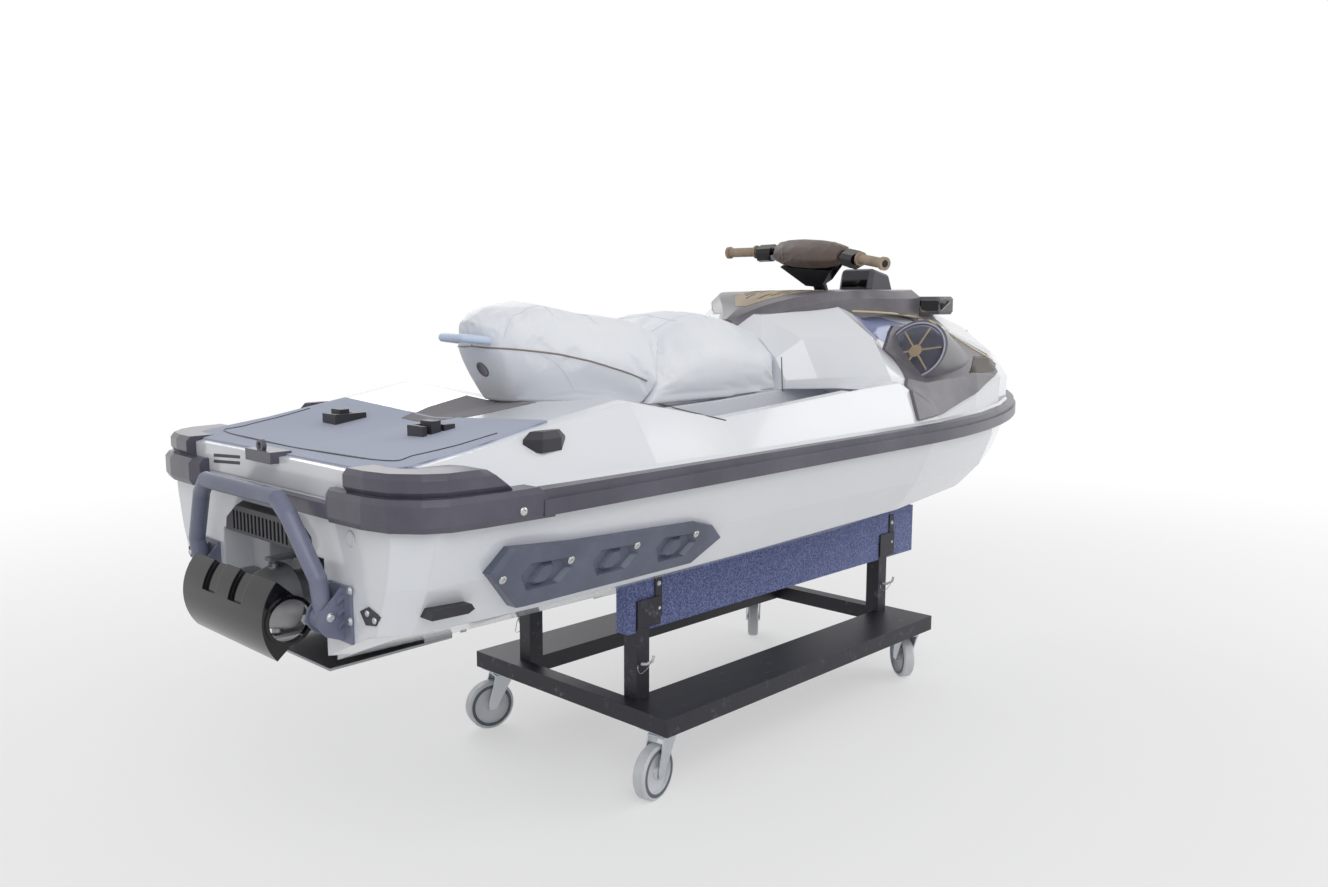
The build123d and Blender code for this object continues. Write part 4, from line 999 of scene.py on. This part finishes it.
class CRAFT_OT_cart_fittings(bpy.types.Operator):
    """Fits the bunks' straps and bolts, the pull pins and the rings of the wheels to the cart."""
    bl_idname = "craft.cart_fittings"
    bl_label = "Cart fittings"

    def execute(self, context):
        self.straps()
        self.pins()
        self.rings()
        return {"FINISHED"}

    def straps(self):
        """Flat steel straps up the bunks, outside, at both ends."""
        low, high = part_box("bunks")
        straps, bolts = [], []
        for x in (low.x + STRAP_REAR, high.x - STRAP_FRONT):
            foot = Vector((x, low.y - STRAP_GAP, low.z))
            low_corner, high_corner = (-STRAP_HALF, 0, STRAP_LOW), (STRAP_HALF, STRAP_THICK, STRAP_HIGH)
            straps.append(block(low_corner, high_corner, foot, 0.8))
            for z in STRAP_NUTS:
                bolts += nut(foot + Vector((0, 0, z * MM)), (0, -1, 0), 5.5, 4.0)
        piece("bunk_straps", pair_all(straps), "cart_paint")
        piece("bunk_bolts", pair_all(bolts), "zinc")

    def pins(self):
        """A white pull pin with its stiff wire loop on each post."""
        low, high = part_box("cart_posts")
        pins, wires = [], []
        for x in (low.x + PIN_REAR, high.x - PIN_FRONT):
            base = Vector((x, low.y + PIN_DEEP, low.z + PIN_HIGH))
            pins.append(tube([base + Vector(p) * MM for p in PIN_PATH], PIN_R, 10))
            wires.append(tube(curve([base + Vector(p) * MM for p in WIRE_PATH], 0.006), WIRE_R, 6))
        piece("pull_pins", pair_all(pins), "pin_plastic")
        piece("pin_wires", pair_all(wires), "stainless")

    def rings(self):
        """A dark ring on both faces of each wheel."""
        joints = {joint["name"]: joint for joint in frame["joints"]}
        for corner in CORNERS:
            roll = joints["roll_" + corner]
            centre, axis = Vector(roll["pos_m"]), Vector(roll["axis"])
            side = axis.orthogonal().normalized()
            wheel = surface_of(("wheel_" + corner,))
            rings = []
            for way in (axis, -axis):
                spot = wheel.ray_cast(centre + way * 0.08 + side * RING_R * MM, -way)[0]
                face = (spot - centre).dot(way) / MM
                profile = [(RING_R - RING_HALF, face - RING_DEEP), (RING_R - RING_HALF, face + 0.5),
                           (RING_R + RING_HALF, face + 0.5), (RING_R + RING_HALF, face - RING_DEEP)]
                rings.append(turned(profile, centre, way, 48, True))
            piece("wheel_rings_" + corner, rings, "wheel_ring", "roller_" + corner)


class CRAFT_OT_stage(bpy.types.Operator):
    """Sets the floor, the backdrop, the lamps and the camera."""
    bl_idname = "craft.stage"
    bl_label = "Stage"

    def execute(self, context):
        make_floor()
        make_light()
        make_camera()
        return {"FINISHED"}


def seen_ray(tree):
    """One for rays from the camera, from gloss and through glass, else zero."""
    path = add(tree, "ShaderNodeLightPath")
    some = add(tree, "ShaderNodeMath", {"operation": "MAXIMUM"},
               {0: (path, "Is Camera Ray"), 1: (path, "Is Glossy Ray")})
    return add(tree, "ShaderNodeMath", {"operation": "MAXIMUM"},
               {0: (some, "Value"), 1: (path, "Is Transmission Ray")})


# The floor's half width, and where it starts to fade and is all backdrop, in metres from the middle
FLOOR_HALF = 60.0
FADE_FROM, FADE_TO = 1.2, 6.0


def make_floor():
    """A pale floor that fades into the white backdrop away from the cart."""
    mesh = bpy.data.meshes.new("floor")
    built = bmesh.new()
    bmesh.ops.create_grid(built, x_segments=1, y_segments=1, size=FLOOR_HALF)
    built.to_mesh(mesh)
    built.free()
    floor = placed("floor", mesh)
    made, tree, shader, here = surface("painted_studio_floor", linear("#e9e9e9"), **{"Roughness": 0.7})
    glow = add(tree, "ShaderNodeEmission", {"Strength": 1.0})
    far = add(tree, "ShaderNodeVectorMath", {"operation": "LENGTH"}, {0: here["Vector"]})
    fade = add(tree, "ShaderNodeMapRange", {
        "interpolation_type": "SMOOTHSTEP", "From Min": FADE_FROM, "From Max": FADE_TO,
        "To Min": 0.45, "To Max": 1.0}, {"Value": (far, "Value")})
    share = add(tree, "ShaderNodeMath", {"operation": "MULTIPLY"},
                {0: (fade, "Result"), 1: (seen_ray(tree), "Value")})
    add(tree, "ShaderNodeMixShader", {}, {0: (share, "Value"), 1: (shader, "BSDF"), 2: (glow, "Emission")},
        feeds=(tree.nodes["Material Output"], "Surface"))
    mesh.materials.append(made)


# Lamps: name, place and width in metres, power in watts
LAMPS = (
    ("key", (-3.2, -3.6, 4.0), 3.4, 88.0),
    ("fill", (3.6, -3.0, 3.0), 3.0, 48.0),
    ("back", (1.0, 4.2, 3.6), 3.0, 50.0),
)
LAMP_AIM = (0, 0, 0.7)


def make_light():
    """A soft world, seen as plain white, and three wide lamps."""
    world = bpy.data.worlds.new("studio")
    bpy.context.scene.world = world
    world.use_nodes = True
    tree = world.node_tree
    lit = tree.nodes["Background"]
    lit.inputs["Color"].default_value = linear("#eeeeee")
    lit.inputs["Strength"].default_value = 0.6
    white = add(tree, "ShaderNodeBackground", {"Strength": 1.0, "Color": (1, 1, 1, 1)})
    add(tree, "ShaderNodeMixShader", {},
        {0: (seen_ray(tree), "Value"), 1: (lit, "Background"), 2: (white, "Background")},
        feeds=(tree.nodes["World Output"], "Surface"))
    for name, place, size, power in LAMPS:
        data = bpy.data.lights.new(name, "AREA")
        data.size = size
        data.energy = power
        lamp = placed(name, data)
        lamp.location = place
        lamp.rotation_euler = (Vector(LAMP_AIM) - Vector(place)).to_track_quat("-Z", "Y").to_euler()


def make_camera():
    """The photo's own camera."""
    data = bpy.data.cameras.new("camera")
    data.sensor_width = 36.0
    data.lens = data.sensor_width * FOCAL_PX / FRAME_PX
    camera = placed("camera", data)
    axes = Matrix(camera_axes()).transposed()
    camera.matrix_world = Matrix.Translation(CAMERA_PLACE) @ axes.to_4x4()
    bpy.context.scene.camera = camera
    bpy.context.scene.view_settings.view_transform = "Standard"


class CRAFT_PT_panel(bpy.types.Panel):
    bl_idname = "CRAFT_PT_panel"
    bl_label = "Watercraft"
    bl_space_type = "VIEW_3D"
    bl_region_type = "UI"
    bl_category = "Watercraft"

    def draw(self, context):
        for operator in OPERATORS:
            self.layout.operator(operator.bl_idname)


OPERATORS = (CRAFT_OT_finishes, CRAFT_OT_seats, CRAFT_OT_deck_lines, CRAFT_OT_front, CRAFT_OT_fasteners,
             CRAFT_OT_handlebar, CRAFT_OT_cart_fittings, CRAFT_OT_stage)
CLASSES = (WatercraftSizes, WatercraftColours) + OPERATORS + (CRAFT_PT_panel,)


def register():
    for made in CLASSES:
        bpy.utils.register_class(made)
    bpy.types.Scene.craft_sizes = bpy.props.PointerProperty(type=WatercraftSizes)
    bpy.types.Scene.craft_colours = bpy.props.PointerProperty(type=WatercraftColours)


def unregister():
    del bpy.types.Scene.craft_colours
    del bpy.types.Scene.craft_sizes
    for made in reversed(CLASSES):
        bpy.utils.unregister_class(made)


def main():
    register()
    for operator in OPERATORS:
        group, name = operator.bl_idname.split(".")
        if getattr(getattr(bpy.ops, group), name)() != {"FINISHED"}:
            raise RuntimeError(operator.bl_label + " did not finish")
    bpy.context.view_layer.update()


if __name__ == "__main__":
    main()
